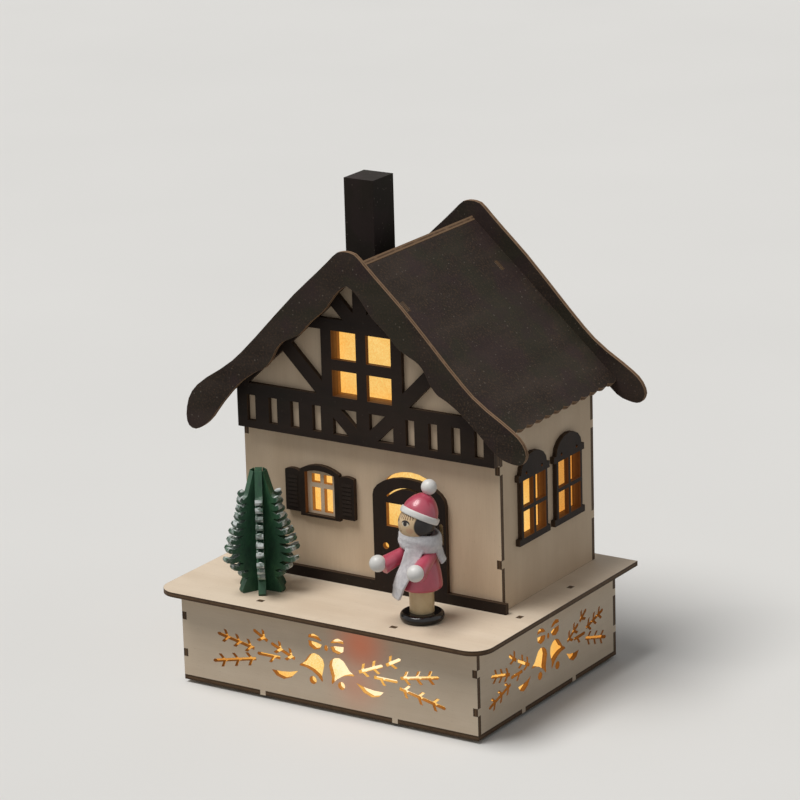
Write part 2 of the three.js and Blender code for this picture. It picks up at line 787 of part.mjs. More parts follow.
function addRoofPanel(name, side, top) {
  const panel = new THREE.Shape();
  const edge = roofSlope - scallopDepth;
  const length = roofBack - roofFront;
  const count = Math.max(1, Math.round(length / scallopPitch));
  panel.moveTo(top, side * roofFront);
  panel.lineTo(edge, side * roofFront);
  for (let i = 0; i < count; i += 1) {
    const middle = roofFront + length * (i + 0.5) / count;
    const end = roofFront + length * (i + 1) / count;
    panel.quadraticCurveTo(roofSlope + scallopDepth, side * middle, edge, side * end);
  }
  panel.lineTo(top, side * roofBack);
  panel.closePath();
  for (const y of [houseFront + ply / 2, houseBack - ply / 2]) {
    panel.holes.push(holeOf(rectangleAt(roofTabFromApex + glueGap * pitchTan, side * y,
      roofTabWidth + 2 * slotClear, ply + 2 * slotClear)));
  }
  const mesh = addPiece(name, sawn(panel, ply, 4), 'stain');
  const frame = new THREE.Matrix4().makeBasis(
    new THREE.Vector3(side * pitchCos, 0, -pitchSin),
    new THREE.Vector3(0, side, 0),
    new THREE.Vector3(side * pitchSin, 0, pitchCos),
  );
  mesh.quaternion.setFromRotationMatrix(frame);
  mesh.position.set(0, 0, roofApex);
}

function addRoof() {
  const doublePitch = 2 * roofPitch;
  addRoofPanel('roof_right_panel', 1, (ply * Math.cos(doublePitch) + glueGap) / Math.sin(doublePitch));
  addRoofPanel('roof_left_panel', -1, -ply / Math.sin(doublePitch));
  const seat = roofApex + (ply + glueGap) / pitchCos;
  const right = -chimneyFromRidge + chimneyWidth / 2;
  const left = right - chimneyWidth;
  const top = roofApex + chimneyAboveApex;
  const foot = (x) => [x, seat + x * pitchTan];
  const block = outlineOf([foot(left), foot(right), [right, top], [left, top]]);
  const middle = (roofFront + roofBack) / 2;
  addPiece('chimney_block', boardAcross(block, middle - chimneyDepth / 2, chimneyDepth), 'stain');
}

function bargeOutline() {
  const half = (side, tip) => [...bargeOuter, ...tip, ...bargeInner].map(([reach, lift]) => {
    const out = reach * houseHalf / bargeDrawnHalf;
    return new THREE.Vector2(side * out, roofApex - out * pitchTan + lift);
  });
  const apex = new THREE.Vector2(0, roofApex + bargeApex);
  const innerApex = new THREE.Vector2(0, roofApex + bargeInnerApex);
  const shape = new THREE.Shape();
  shape.moveTo(apex.x, apex.y);
  shape.splineThru([...half(1, bargeTips.right), innerApex]);
  shape.splineThru([...half(-1, bargeTips.left).reverse(), apex]);
  return shape;
}

function addBargeboards() {
  for (const [name, front] of [['front_bargeboard', roofFront - ply], ['rear_bargeboard', roofBack]]) {
    addPiece(name, boardAcross(bargeOutline(), front, ply, 2), 'stain');
  }
}

// Gable board glued on the front wall. On it the timber overlay: rail with slots, window bars, posts, braces,
// collar, and king post with its two braces.

function gableFace() {
  return outlineOf([
    [-houseHalf, railBottom], [houseHalf, railBottom], [houseHalf, wallTop], [0, gableTop],
    [-houseHalf, wallTop],
  ]);
}

function addGableBoard() {
  const board = gableFace();
  board.holes.push(gableWindow());
  addPiece('gable_board', boardAcross(board, houseFront - ply), 'birch');
}

function addTimberOverlay() {
  const overlay = gableFace();
  const collarTop = collarLow + collarHeight;
  const slotMid = railBottom + railHeight / 2 - railSlotDrop;
  const slotLow = slotMid - railSlotHeight / 2;
  const slotTop = slotMid + railSlotHeight / 2;
  const slotPitch = (houseHalf - railSlotFromEnd - railSlotFirst) / (railSlotCount - 1);
  const braceUpper = railTop + braceRise - postOut;
  const braceFoot = postOut + braceWidth * Math.SQRT2 - braceRise;
  const rafterAt = (x) => gableTop - rafterWidth / pitchCos - x * pitchTan;
  const rafterOut = (z) => gableOut(z, rafterWidth);
  const meet = (height) => (rafterAt(0) - height) / (1 + pitchTan);
  const upperOut = meet(braceUpper);
  const lowerOut = meet(railTop - braceFoot);
  const kingIn = kingPostWidth / 2;
  const kingUpper = collarTop + kingBraceRise - kingIn;
  const kingLower = kingUpper - braceWidth * Math.SQRT2;
  const kingTop = gableTop - kingRafterWidth / pitchCos;
  const kingUpperOut = (kingTop - kingUpper) / (1 + pitchTan);
  const kingLowerOut = meet(kingLower);
  const paneIn = paneBarWidth / 2;
  const paneMid = railTop + paneLowHeight + paneCrossHeight;
  for (const side of bothSides) {
    const cut = (points) => overlay.holes.push(holeOf(points.map(([x, z]) => [side * x, z])));
    for (let i = 0; i < railSlotCount; i += 1) {
      cut(rectangleAt(railSlotFirst + i * slotPitch, slotMid, railSlotWidth, railSlotHeight));
    }
    cut([[motifInner, slotTop], [motifInner, slotLow + motifBeam], [motifOuter - motifBeam, slotTop]]);
    cut([[motifOuter, slotLow], [motifOuter, slotTop - motifBeam], [motifInner + motifBeam, slotLow]]);
    cut(rectangle(paneIn, railTop, paneHalf, railTop + paneLowHeight));
    cut(rectangle(paneIn, paneMid, paneHalf, collarLow));
    cut([
      [postOut, braceUpper + postOut], [upperOut, braceUpper + upperOut],
      [rafterOut(collarLow), collarLow], [postOut, collarLow],
    ]);
    cut([[braceFoot, railTop], [rafterOut(railTop), railTop], [lowerOut, railTop - braceFoot + lowerOut]]);
    cut([
      [collarTop - kingLower, collarTop], [rafterOut(collarTop), collarTop],
      [kingLowerOut, kingLower + kingLowerOut],
    ]);
    cut([
      [kingIn, kingUpper + kingIn], [kingUpperOut, kingUpper + kingUpperOut],
      [kingIn, kingTop - kingIn * pitchTan],
    ]);
  }
  addPiece('gable_timber_overlay', boardAcross(overlay, houseFront - 2 * ply), 'stain');
}

// Front window frame, shutters, door and skirting, all glued on the front wall

function archedShape(left, right, bottom, spring, rise) {
  const shape = new THREE.Shape();
  shape.moveTo(left, bottom);
  shape.lineTo(right, bottom);
  shape.lineTo(right, spring);
  shape.quadraticCurveTo((left + right) / 2, spring + 2 * rise, left, spring);
  shape.closePath();
  return shape;
}

function addFrontTrim() {
  const front = houseFront - ply;
  const frameLow = deckTop + windowFrameBottom;
  const frameLeft = windowAcross - windowFrameWidth / 2;
  const frameRight = windowAcross + windowFrameWidth / 2;
  const spring = frameLow + windowFrameSide;
  const frame = archedShape(frameLeft, frameRight, frameLow, spring, windowArchRise);
  const opening = archedShape(frameLeft + windowFrameBorder, frameRight - windowFrameBorder,
    frameLow + windowSillHeight, spring - windowFrameBorder + windowArchRise / 2, windowArchRise / 2);
  frame.holes.push(new THREE.Path(opening.getPoints(6)));
  addPiece('front_window_frame', boardAcross(frame, front), 'stain');

  const shutterLow = frameLow + shutterLift;
  const shutterTop = shutterLow + shutterHeight;
  for (const [name, left] of [['shutter_left', frameLeft - shutterWidth], ['shutter_right', frameRight]]) {
    const leaf = archedShape(left, left + shutterWidth, shutterLow, shutterTop, shutterArchRise);
    addPiece(name, boardAcross(leaf, front), 'stain');
  }

  const doorLeft = doorAcross - doorWidth / 2;
  const doorRight = doorAcross + doorWidth / 2;
  const door = new THREE.Shape();
  door.moveTo(doorLeft, deckTop);
  door.lineTo(doorRight, deckTop);
  door.lineTo(doorRight, deckTop + doorSpring);
  door.absellipse(doorAcross, deckTop + doorSpring, doorWidth / 2, doorArchRise, 0, Math.PI, false);
  door.closePath();
  const sill = deckTop + doorWindowSill;
  const half = doorWindowWidth / 2;
  door.holes.push(holeOf(rectangle(doorAcross - half, sill, doorAcross + half, sill + doorWindowHeight)));
  door.holes.push(roundHole(doorLeft + knobHoleFromEdge, deckTop + knobHoleHeight, knobHoleRadius));
  const swing = Math.asin(doorArcSpread / doorArcRadius);
  const [start, stop] = [Math.PI / 2 - swing, Math.PI / 2 + swing];
  const arcMid = deckTop + doorArcTop - doorArcRadius;
  const groove = new THREE.Path();
  groove.absarc(doorAcross, arcMid, doorArcRadius, start, stop, false);
  groove.absarc(doorAcross, arcMid, doorArcRadius - doorArcGroove, stop, start, true);
  groove.closePath();
  door.holes.push(groove);
  addPiece('door_board', boardAcross(door, front), 'stain');

  const end = houseHalf + skirtingPastWall;
  for (const [name, from, to] of [['skirting_left', -end, doorLeft], ['skirting_right', doorRight, end]]) {
    addPiece(name, box([from, front, deckTop], [to, houseFront, deckTop + skirtingHeight]), 'stain');
  }
}

// Side window frames: sill, jambs, crossed bars, ledge and a round head with two pierced dots

function sideWindowOutline(middle) {
  const half = sideWindowWidth / 2;
  const wide = half + sideWindowLedgeOut;
  const sill = deckTop + sideWindowSill;
  const sillTop = sill + sideWindowSillHeight;
  const ledge = sillTop + sideWindowPane;
  const ledgeTop = ledge + sideWindowLedge;
  const frame = new THREE.Shape();
  frame.moveTo(middle - wide, sill);
  frame.lineTo(middle + wide, sill);
  frame.lineTo(middle + wide, sillTop);
  frame.lineTo(middle + half, sillTop);
  frame.lineTo(middle + half, ledge);
  frame.lineTo(middle + wide, ledge);
  frame.lineTo(middle + wide, ledgeTop);
  frame.absellipse(middle, ledgeTop, half, sideWindowArchRise, 0, Math.PI, false);
  frame.lineTo(middle - wide, ledgeTop);
  frame.lineTo(middle - wide, ledge);
  frame.lineTo(middle - half, ledge);
  frame.lineTo(middle - half, sillTop);
  frame.lineTo(middle - wide, sillTop);
  frame.closePath();
  const pane = [half - sideWindowJamb - sideWindowBar / 2, (sideWindowPane - sideWindowBar) / 2];
  for (const side of bothSides) {
    for (const row of [0, 1]) {
      const x = middle + side * (sideWindowBar + pane[0]) / 2;
      const z = sillTop + pane[1] / 2 + row * (pane[1] + sideWindowBar);
      frame.holes.push(holeOf(rectangleAt(x, z, ...pane)));
    }
    frame.holes.push(roundHole(middle + side * sideWindowDotSpread / 2, ledgeTop, sideWindowDotRadius));
  }
  return frame;
}

function addSideWindows() {
  for (const [side, left] of [['left', -houseHalf - ply], ['right', houseHalf]]) {
    for (const [end, sign] of [['front', -1], ['back', 1]]) {
      const outline = sideWindowOutline(houseMid + sign * sideWindowSpread / 2);
      addPiece(`${side}_window_frame_${end}`, boardAlong(outline, left, ply, 4), 'stain');
    }
  }
}

// Battery case let into the base's back panel, with its cover, cells, contacts and slide switch

const coverLeft = bayLeft - coverOverlap;
const coverRight = bayRight + coverOverlap;
const coverBottom = bayBottom - coverOverlap;
const coverTop = bayBottom + bayHeight + coverOverlap;
const coverAxisY = flangeBack + coverGap + coverThickness / 2;
const lugRadius = coverPinRadius + coverPinClear + coverLugWall;
const coverAxisX = coverLeft - lugRadius + coverThickness / 2;
const sliderMidX = (bayRight + caseLeft + caseWidth) / 2;
const sliderRestX = sliderMidX - sliderTravel / 2;

function addBattery() {
  const flangeLow = caseMidZ - caseHeight / 2 - caseFlange;
  const flangeHigh = caseMidZ + caseHeight / 2 + caseFlange;
  const lugs = [coverBottom - coverLugHeight - coverGap, coverTop + coverGap].map((low) => {
    const ear = new THREE.Shape();
    const pinHole = coverPinRadius + coverPinClear;
    ear.moveTo(coverAxisX - lugRadius, flangeBack - caseFlangeThickness / 2);
    ear.lineTo(coverAxisX + lugRadius, flangeBack - caseFlangeThickness / 2);
    ear.lineTo(coverAxisX + lugRadius, coverAxisY);
    ear.absarc(coverAxisX, coverAxisY, lugRadius, 0, Math.PI, false);
    ear.closePath();
    ear.holes.push(roundHole(coverAxisX, coverAxisY, pinHole));
    return boardFlat(ear, low, coverLugHeight, 6);
  });
  const flangeLeft = Math.min(caseLeft - caseFlange, coverAxisX - lugRadius);
  const flangeRight = caseLeft + caseWidth + caseFlange;
  const caseLow = caseMidZ - caseHeight / 2;
  const shell = joined([
    box([caseLeft, caseFront, caseLow], [caseLeft + caseWidth, flangeBack, caseLow + caseHeight]),
    box([flangeLeft, baseBack, flangeLow], [flangeRight, flangeBack, flangeHigh]),
    ...lugs,
  ]);
  const bayBack = flangeBack + ply;
  const bay = box([bayLeft, caseFront + caseWall, bayBottom], [bayRight, bayBack, bayBottom + bayHeight]);
  const pocketHalf = (sliderLength + sliderTravel) / 2 + sliderClear;
  const pocketRise = sliderWidth / 2 + sliderClear;
  const pocket = box(
    [sliderMidX - pocketHalf, flangeBack - sliderDepth - sliderClear, caseMidZ - pocketRise],
    [sliderMidX + pocketHalf, bayBack, caseMidZ + pocketRise],
  );
  addPiece('battery_case', surfaceOf(shell.subtract(solid(bay)).subtract(solid(pocket))), 'plastic');

  const cover = new THREE.Shape();
  cover.moveTo(coverRight, coverAxisY + coverThickness / 2);
  cover.absarc(coverAxisX, coverAxisY, coverThickness / 2, Math.PI / 2, 1.5 * Math.PI, false);
  cover.lineTo(coverRight, coverAxisY - coverThickness / 2);
  cover.closePath();
  const pin = turned([
    [0, coverBottom - coverPinLength], [coverPinRadius, coverBottom - coverPinLength],
    [coverPinRadius, coverTop + coverPinLength], [0, coverTop + coverPinLength],
  ], 12).translate(coverAxisX, coverAxisY, 0);
  const leaf = boardFlat(cover, coverBottom, coverTop - coverBottom, 5);
  addPiece('battery_cover', surfaceOf(joined([leaf, pin])), 'plastic');

  const cellY = caseFront + caseWall + cellGap + cellDiameter / 2;
  const cellStart = bayLeft + contactThickness + contactSpring + cellGap;
  const profile = [[0, 0], [cellDiameter / 2, 0], [cellDiameter / 2, cellLength], [cellNubRadius, cellLength],
    [cellNubRadius, cellLength + cellNubLength], [0, cellLength + cellNubLength]];
  const springs = [];
  for (let i = 0; i < cellCount; i += 1) {
    const z = bayBottom + cellGap + cellDiameter / 2 + i * cellPitch;
    const cell = addPiece(`battery_cell_${i + 1}`, turned(profile, 18), 'cell');
    cell.rotation.y = Math.PI / 2;
    cell.position.set(cellStart, cellY, z);
    const spring = turned([[0, -contactThickness / 2], [contactSpringRadius, -contactThickness / 2],
      [contactSpringRadius / 2, contactSpring], [0, contactSpring]], 10);
    springs.push(spring.rotateY(Math.PI / 2).translate(bayLeft + contactThickness, cellY, z));
  }
  const contactDepth = [caseFront + caseWall, caseFront + caseWall + cellDiameter];
  const strip = (from) => box([from, contactDepth[0], bayBottom], [from + contactThickness, contactDepth[1],
    bayBottom + bayHeight]);
  addPiece('contact_spring_strip', surfaceOf(joined([strip(bayLeft), ...springs])), 'steel');
  addPiece('contact_plate_strip', strip(bayRight - contactThickness), 'steel');

  const slider = box(
    [sliderRestX - sliderLength / 2, flangeBack - sliderDepth, caseMidZ - sliderWidth / 2],
    [sliderRestX + sliderLength / 2, flangeBack + sliderProud, caseMidZ + sliderWidth / 2],
  );
  addPiece('switch_slider', slider, 'plastic');
}

// Light boards under the deck: one shines up into the house, the other down behind the base's front

function leadAlong(points) {
  const route = new THREE.CatmullRomCurve3(points);
  const section = new THREE.Shape();
  section.absarc(0, 0, leadRadius, 0, 2 * Math.PI, false);
  return new THREE.ExtrudeGeometry(section, { steps: 18, curveSegments: 4, extrudePath: route });
}

function addLights() {
  const boardLow = deckBottom - boardThickness;
  const dome = ballProfile(ledRadius, ledHeight - ledRadius, ledHeight - ledRadius, ledHeight, 4);
  const lampProfile = [
    [0, 0], [ledFlangeRadius, 0], [ledFlangeRadius, ledFlangeHeight], [ledRadius, ledFlangeHeight], ...dome,
  ];
  const baseLightMid = baseFront + baseBoardFromFront;
  const boards = [
    ['house', lightMid, houseBoardDepth, [0], deckBottom, 0],
    ['base', baseLightMid, baseBoardDepth, [-baseLampSpread / 2, baseLampSpread / 2], boardLow, Math.PI],
  ];
  for (const [name, middle, depth, places, foot, turn] of boards) {
    addPiece(`${name}_light_board`, box([-boardWidth / 2, middle - depth / 2, boardLow],
      [boardWidth / 2, middle + depth / 2, deckBottom]), 'circuit');
    places.forEach((across, i) => {
      const lamp = addPiece(`${name}_lamp_${i + 1}`, turned(lampProfile, 12), 'lamp');
      lamp.rotation.x = turn;
      lamp.position.set(across, middle, foot);
    });
  }
  const down = new THREE.Vector3(0, 0, -leadEndStraight);
  const underBoard = boardLow - glueGap;
  const supply = new THREE.Vector3(sliderMidX, caseFront - glueGap, caseMidZ);
  const supplyEnd = new THREE.Vector3(boardWidth / 2 - lightWellBorder, lightMid + ledHeight, underBoard);
  addPiece('supply_lead', leadAlong([
    supply,
    supply.clone().add(new THREE.Vector3(0, -leadEndStraight, 0)),
    supply.clone().add(supplyEnd).divideScalar(2).add(new THREE.Vector3(0, 0, -leadSag)),
    supplyEnd.clone().add(down),
    supplyEnd,
  ]), 'lead');
  const link = new THREE.Vector3(0, lightMid - ledHeight, underBoard);
  const linkEnd = new THREE.Vector3(0, baseLightMid, underBoard);
  addPiece('link_lead', leadAlong([
    link,
    link.clone().add(down),
    link.clone().add(linkEnd).divideScalar(2).add(new THREE.Vector3(0, 0, -leadSag)),
    linkEnd.clone().add(down),
    linkEnd,
  ]), 'lead');
}

// Tree: each plank keeps its middle in one third of the height and is notched for the other two

const treeFoot = [[14, 0], [14.8, 1.4], [13.6, 4.4], [11.6, 8]];
const treeTips = [[15.5, 12], [20.5, 17], [25, 22.4], [23.2, 28], [21.6, 33.4], [19.4, 38.4], [17.4, 43],
  [16, 48], [15, 53], [14.2, 57.8]];
const treeTop = [[8.4, 61.4], [7, 66], [5.8, 70]];
const treeTip = 4.6;
const branchShare = 0.36;
const branchDrop = 2.5;
const branchHook = 1.6;
const branchRound = 0.9;
const branchHollow = 0.3;

// One hooked branch end, from its underside round the upturned tip to its hollow top
function branchPoints([reach, height]) {
  const depth = branchShare * reach;
  return [
    [reach - depth, height - branchDrop],
    [reach - depth / 2, height - branchDrop],
    [reach - branchRound, height - branchHook],
    [reach, height],
    [reach - branchRound, height + branchHook],
    [reach - depth / 2, height + branchHollow],
    [reach - depth, height + branchHook],
  ];
}

function addTree() {
  const tree = new THREE.Group();
  tree.position.set(treeAcross, yardMid + treeFromYardMid, deckTop);
  tree.rotation.z = treeTurn;
  house.add(tree);
  const half = [...treeFoot, ...treeTips.flatMap(branchPoints), ...treeTop, [treeTip, treeHeight]];
  const outline = outlineOf([...half, ...half.map(([x, z]) => [-x, z]).reverse()]);
  const fan = Math.PI / treePlankCount;
  const notchHalf = treePlank * (1 / Math.sin(fan) + 1 / Math.tan(fan)) / 2 + glueGap;
  const third = treeHeight / treePlankCount;
  for (let i = 0; i < treePlankCount; i += 1) {
    const plank = boardAcross(outline, -treePlank / 2, treePlank);
    const notches = [];
    const kept = [i * third + glueGap / 2, (i + 1) * third - glueGap / 2];
    if (i > 0) notches.push(box([-notchHalf, -treePlank, -glueGap], [notchHalf, treePlank, kept[0]]));
    if (i < treePlankCount - 1) {
      notches.push(box([-notchHalf, -treePlank, kept[1]], [notchHalf, treePlank, treeHeight + glueGap]));
    }
    const mesh = addPiece(`tree_plank_${i + 1}`, surfaceOf(cutAway(plank, notches)), 'fir', tree);
    mesh.rotation.z = i * fan;
  }
}

// Figure: turned disc, legs, coat, head, cap, pompom and arms, with a felt scarf and a yarn braid

const neckRadius = coatSide.at(-1)[0];

function coatProfile(grow) {
  const side = coatSide.map(([radius, height]) => [radius + grow, height]);
  return [[0, coatHem - grow], [coatHemRadius + grow, coatHem - grow], ...side,
    [neckRadius + grow, coatTop + grow], [0, coatTop + grow]];
}

// Sleeve and ball hand: the sleeve points a little below the hand
function armParts(side, grow) {
  const shoulder = new THREE.Vector3(-side * shoulderSideways, 0, shoulderHeight);
  const hand = new THREE.Vector3(-side * handSideways, -handForward, handHeight);
  const cuff = hand.clone().sub(new THREE.Vector3(0, 0, cuffDrop)).sub(shoulder);
  const end = cuff.length() - cuffBack;
  const round = shoulderRadius + grow;
  const sleeve = turned([...ballProfile(round, 0, -round, 0, 3), [cuffRadius + grow, end - cuffLength],
    [cuffRadius + grow, end + grow], [0, end + grow]], limbSides);
  const turn = new THREE.Quaternion().setFromUnitVectors(new THREE.Vector3(0, 0, 1), cuff.normalize());
  const grip = handRadius + grow;
  const ball = turned(ballProfile(grip, 0, -grip, grip, 9), limbSides);
  return [sleeve.applyQuaternion(turn).translate(...shoulder), ball.translate(...hand)];
}

// A strip of felt laid over the coat: its middle runs from one bearing and height to another
function feltStrip(fromBearing, toBearing, high, low, rows) {
  const columns = 4;
  const profile = coatProfile(0).slice(1, -1);
  const radiusAt = (z) => {
    const next = Math.max(1, profile.findIndex((p) => p[1] >= z));
    const [a, b] = [profile[next - 1], profile[next]];
    const share = THREE.MathUtils.clamp((z - a[1]) / (b[1] - a[1]), 0, 1);
    return a[0] + (b[0] - a[0]) * share;
  };
  const points = [];
  for (const layer of [0, 1]) {
    for (let i = 0; i <= rows; i += 1) {
      for (let j = 0; j <= columns; j += 1) {
        const t = i / rows;
        const across = (j / columns - 0.5) * scarfWidth;
        const z = high + (low - high) * t;
        const hang = THREE.MathUtils.lerp(scarfRadius - 2 * scarfThickness, coatWidest, t);
        const lift = glueGap + t * scarfStandOff + layer * scarfThickness;
        const radius = Math.max(radiusAt(z), hang) + lift;
        const bearing = fromBearing + (toBearing - fromBearing) * t;
        const turn = bearing + across / radius;
        points.push(radius * Math.sin(turn), -radius * Math.cos(turn), z);
      }
    }
  }
  const row = columns + 1;
  const layerSize = row * (rows + 1);
  const faces = [];
  const quad = (a, b, c, d) => faces.push(a, b, c, a, c, d);
  for (let i = 0; i < rows; i += 1) {
    for (let j = 0; j < columns; j += 1) {
      const k = i * row + j;
      quad(k, k + 1, k + row + 1, k + row);
      quad(layerSize + k, layerSize + k + row, layerSize + k + row + 1, layerSize + k + 1);
    }
    const [left, right] = [i * row, i * row + columns];
    quad(left, left + row, layerSize + left + row, layerSize + left);
    quad(right, layerSize + right, layerSize + right + row, right + row);
  }
  for (let j = 0; j < columns; j += 1) {
    const [top, bottom] = [j, rows * row + j];
    quad(top, layerSize + top, layerSize + top + 1, top + 1);
    quad(bottom, bottom + 1, layerSize + bottom + 1, layerSize + bottom);
  }
  const geometry = new THREE.BufferGeometry();
  geometry.setAttribute('position', new THREE.Float32BufferAttribute(points, 3));
  geometry.setIndex(faces);
  return geometry;
}

const headMid = coatTop + Math.sqrt(headRadius ** 2 - neckRadius ** 2);

function scarfGeometry() {
  const scarfLow = coatTop - scarfBelowHead;
  const scarfHigh = coatTop + scarfUpHead;
  const middle = (scarfLow + scarfHigh) / 2;
  const inner = scarfRadius - scarfRingThickness;
  const rim = [inner - scarfEdgeIn, scarfLow + scarfEdgeRound];
  const ring = turned([
    rim, [scarfRadius - scarfEdgeIn, scarfLow],
    [scarfRadius, middle - scarfFlat / 2], [scarfRadius, middle + scarfFlat / 2],
    [scarfRadius - scarfEdgeIn, scarfHigh], [inner, scarfHigh - scarfEdgeRound],
    [inner - 2 * scarfEdgeIn, middle], rim,
  ], discSides);
  const tail = feltStrip(scarfTailStart, scarfTailEnd, scarfLow + scarfTuck, scarfTailLow, 12);
  const backEnd = feltStrip(scarfBackStart, scarfBackEnd, scarfLow + scarfTuck, scarfBackLow, 6);
  const neighbours = [
    turned(coatProfile(glueGap), figureSides),
    headBall(glueGap).translate(0, -headForward, 0),
    ...bothSides.flatMap((side) => armParts(side, glueGap)),
  ];
  const whole = joined([ring, tail, backEnd]);
  const felt = neighbours.map(solid).reduce((rest, next) => rest.subtract(next), whole);
  const [largest] = felt.decompose().sort((a, b) => b.volume() - a.volume());
  return surfaceOf(largest);
}

function headBall(grow) {
  const radius = headRadius + grow;
  const low = coatTop - grow;
  const ball = ballProfile(radius, headMid, low, headMid + radius, 11);
  return turned([[0, low], ...ball], figureSides);
}

const capHeight = capCrown.at(-1)[1];

function addFigure() {
  const figure = new THREE.Group();
  figure.position.set(figureAcross, yardMid + figureFromYardMid, deckTop);
  figure.rotation.z = figureTurn;
  house.add(figure);
  const discEdge = ballProfile(discHeight / 2, discHeight / 2, 0, discHeight, discEdgeSteps);
  const discSide = discEdge.map(([radius, height]) => [discRadius - discHeight / 2 + radius, height]);
  addPiece('figure_disc', turned([[0, 0], ...discSide, [0, discHeight]], discSides), 'black', figure);
  const legs = [[0, discHeight], [legRadius, discHeight], [legRadius, coatHem], [0, coatHem]];
  addPiece('figure_legs', turned(legs, limbSides), 'cream', figure);
  const coat = turned(coatProfile(0), figureSides);
  addPiece('figure_coat', coat, 'pink', figure);
  for (const [name, side] of [['figure_arm_right', 1], ['figure_arm_left', -1]]) {
    const arm = joined(armParts(side, 0)).subtract(solid(turned(coatProfile(glueGap), figureSides)));
    addPiece(name, surfaceOf(arm), 'pink', figure);
  }
  addPiece('figure_scarf', scarfGeometry(), 'scarf', figure);

  const head = new THREE.Group();
  head.position.set(0, -headForward, headMid);
  head.rotation.z = figureHeadTurn;
  figure.add(head);
  addPiece('figure_head', headBall(0).translate(0, 0, -headMid), 'skin', head);
  const cap = new THREE.Group();
  cap.rotation.x = -capTilt;
  head.add(cap);
  const hollow = headRadius + glueGap;
  const lining = ballProfile(hollow, 0, capBrimLow, hollow, 6).reverse();
  addPiece('figure_cap', turned([
    ...lining, [capBrimRadius - capBrimRound, capBrimLow], [capBrimRadius, (capBrimLow + capBrimHigh) / 2],
    [capBrimRadius - capBrimRound, capBrimHigh], ...capCrown, [0, capHeight],
  ], figureSides), 'pink', cap);
  const pompomMid = capHeight + glueGap + pompomFlat;
  const ball = ballProfile(pompomRadius, pompomMid, pompomMid - pompomFlat, pompomMid + pompomRadius, 8);
  addPiece('figure_pompom', turned([[0, pompomMid - pompomFlat], ...ball], limbSides), 'white', cap);

  const lobe = braidLength / braidTwists;
  const plait = [[0, 0], [braidWaist, 0]];
  for (let i = 0; i < braidTwists; i += 1) {
    plait.push([braidRadius, (i + 0.5) * lobe], [braidWaist, (i + 1) * lobe]);
  }
  const braidTop = coatTop + scarfUpHead;
  const braid = turned([...plait, [0, braidLength]], limbSides)
    .translate(0, scarfRadius + braidRadius + glueGap, braidTop - braidLength);
  addPiece('figure_braid', braid, 'hair', figure).rotation.z = figureHeadTurn;
}

addBase();
addDeck();
addWalls();
addHouseLiner();
addRoof();
addBargeboards();
addGableBoard();
addTimberOverlay();
addFrontTrim();
addSideWindows();
addBattery();
addLights();
addTree();
addFigure();

export default house;
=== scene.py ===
"""Looks of a lit wooden house on a box base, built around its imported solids.

Sizes in the classes are millimetres, as on a maker's drawing. The scene is in metres.
"""

import logging
from collections.abc import Callable, Sequence
from dataclasses import dataclass
from enum import Enum
from functools import cached_property, partialmethod
from math import asin, cos, pi, radians, sin, sqrt
from typing import Self

import bpy
from mathutils import Matrix, Vector


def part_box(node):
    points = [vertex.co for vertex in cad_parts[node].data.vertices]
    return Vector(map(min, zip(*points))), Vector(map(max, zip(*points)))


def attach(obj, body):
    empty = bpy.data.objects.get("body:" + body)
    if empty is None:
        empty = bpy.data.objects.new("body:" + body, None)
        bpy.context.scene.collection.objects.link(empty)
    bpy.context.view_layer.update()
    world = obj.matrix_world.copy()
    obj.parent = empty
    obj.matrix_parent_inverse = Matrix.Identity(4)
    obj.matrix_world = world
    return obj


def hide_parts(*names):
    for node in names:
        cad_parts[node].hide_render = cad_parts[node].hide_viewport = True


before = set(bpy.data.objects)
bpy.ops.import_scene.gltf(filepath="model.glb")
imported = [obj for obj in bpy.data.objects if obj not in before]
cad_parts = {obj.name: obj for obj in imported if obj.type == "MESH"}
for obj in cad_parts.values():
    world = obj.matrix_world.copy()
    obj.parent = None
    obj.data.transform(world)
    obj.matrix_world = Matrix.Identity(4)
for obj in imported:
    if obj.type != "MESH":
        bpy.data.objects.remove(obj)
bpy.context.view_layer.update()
log = logging.getLogger("lit_house")

MM = 0.001
DEGREES = 180 / pi
SIDES = (("left", -1), ("right", 1))
ROUND, SMALL_ROUND = 56, 40

Colour = Triple = tuple[float, float, float]
Point = tuple[float, float]
Line = tuple[Point, ...]
Stops = tuple[tuple[float, Colour], ...]
Surface = Callable[[float, float], Vector]
Socket = bpy.types.NodeSocket
Node = bpy.types.Node
Material = bpy.types.Material
Mesh = bpy.types.Mesh
Piece = bpy.types.Object


class Body(str, Enum):
    """The bodies that a piece may ride on."""

    HOUSE = "house"
    COVER = "cover"
    SWITCH = "switch"


class Lay(Enum):
    """The direction that a sheet's face looks in, and the way its grain runs."""

    FRONT_UPRIGHT = ((0, 1, 0), (0, 0, 1))
    FRONT_LEVEL = ((0, 1, 0), (1, 0, 0))
    SIDE_UPRIGHT = ((1, 0, 0), (0, 0, 1))
    SIDE_LEVEL = ((1, 0, 0), (0, 1, 0))
    FLAT = ((0, 0, 1), (1, 0, 0))


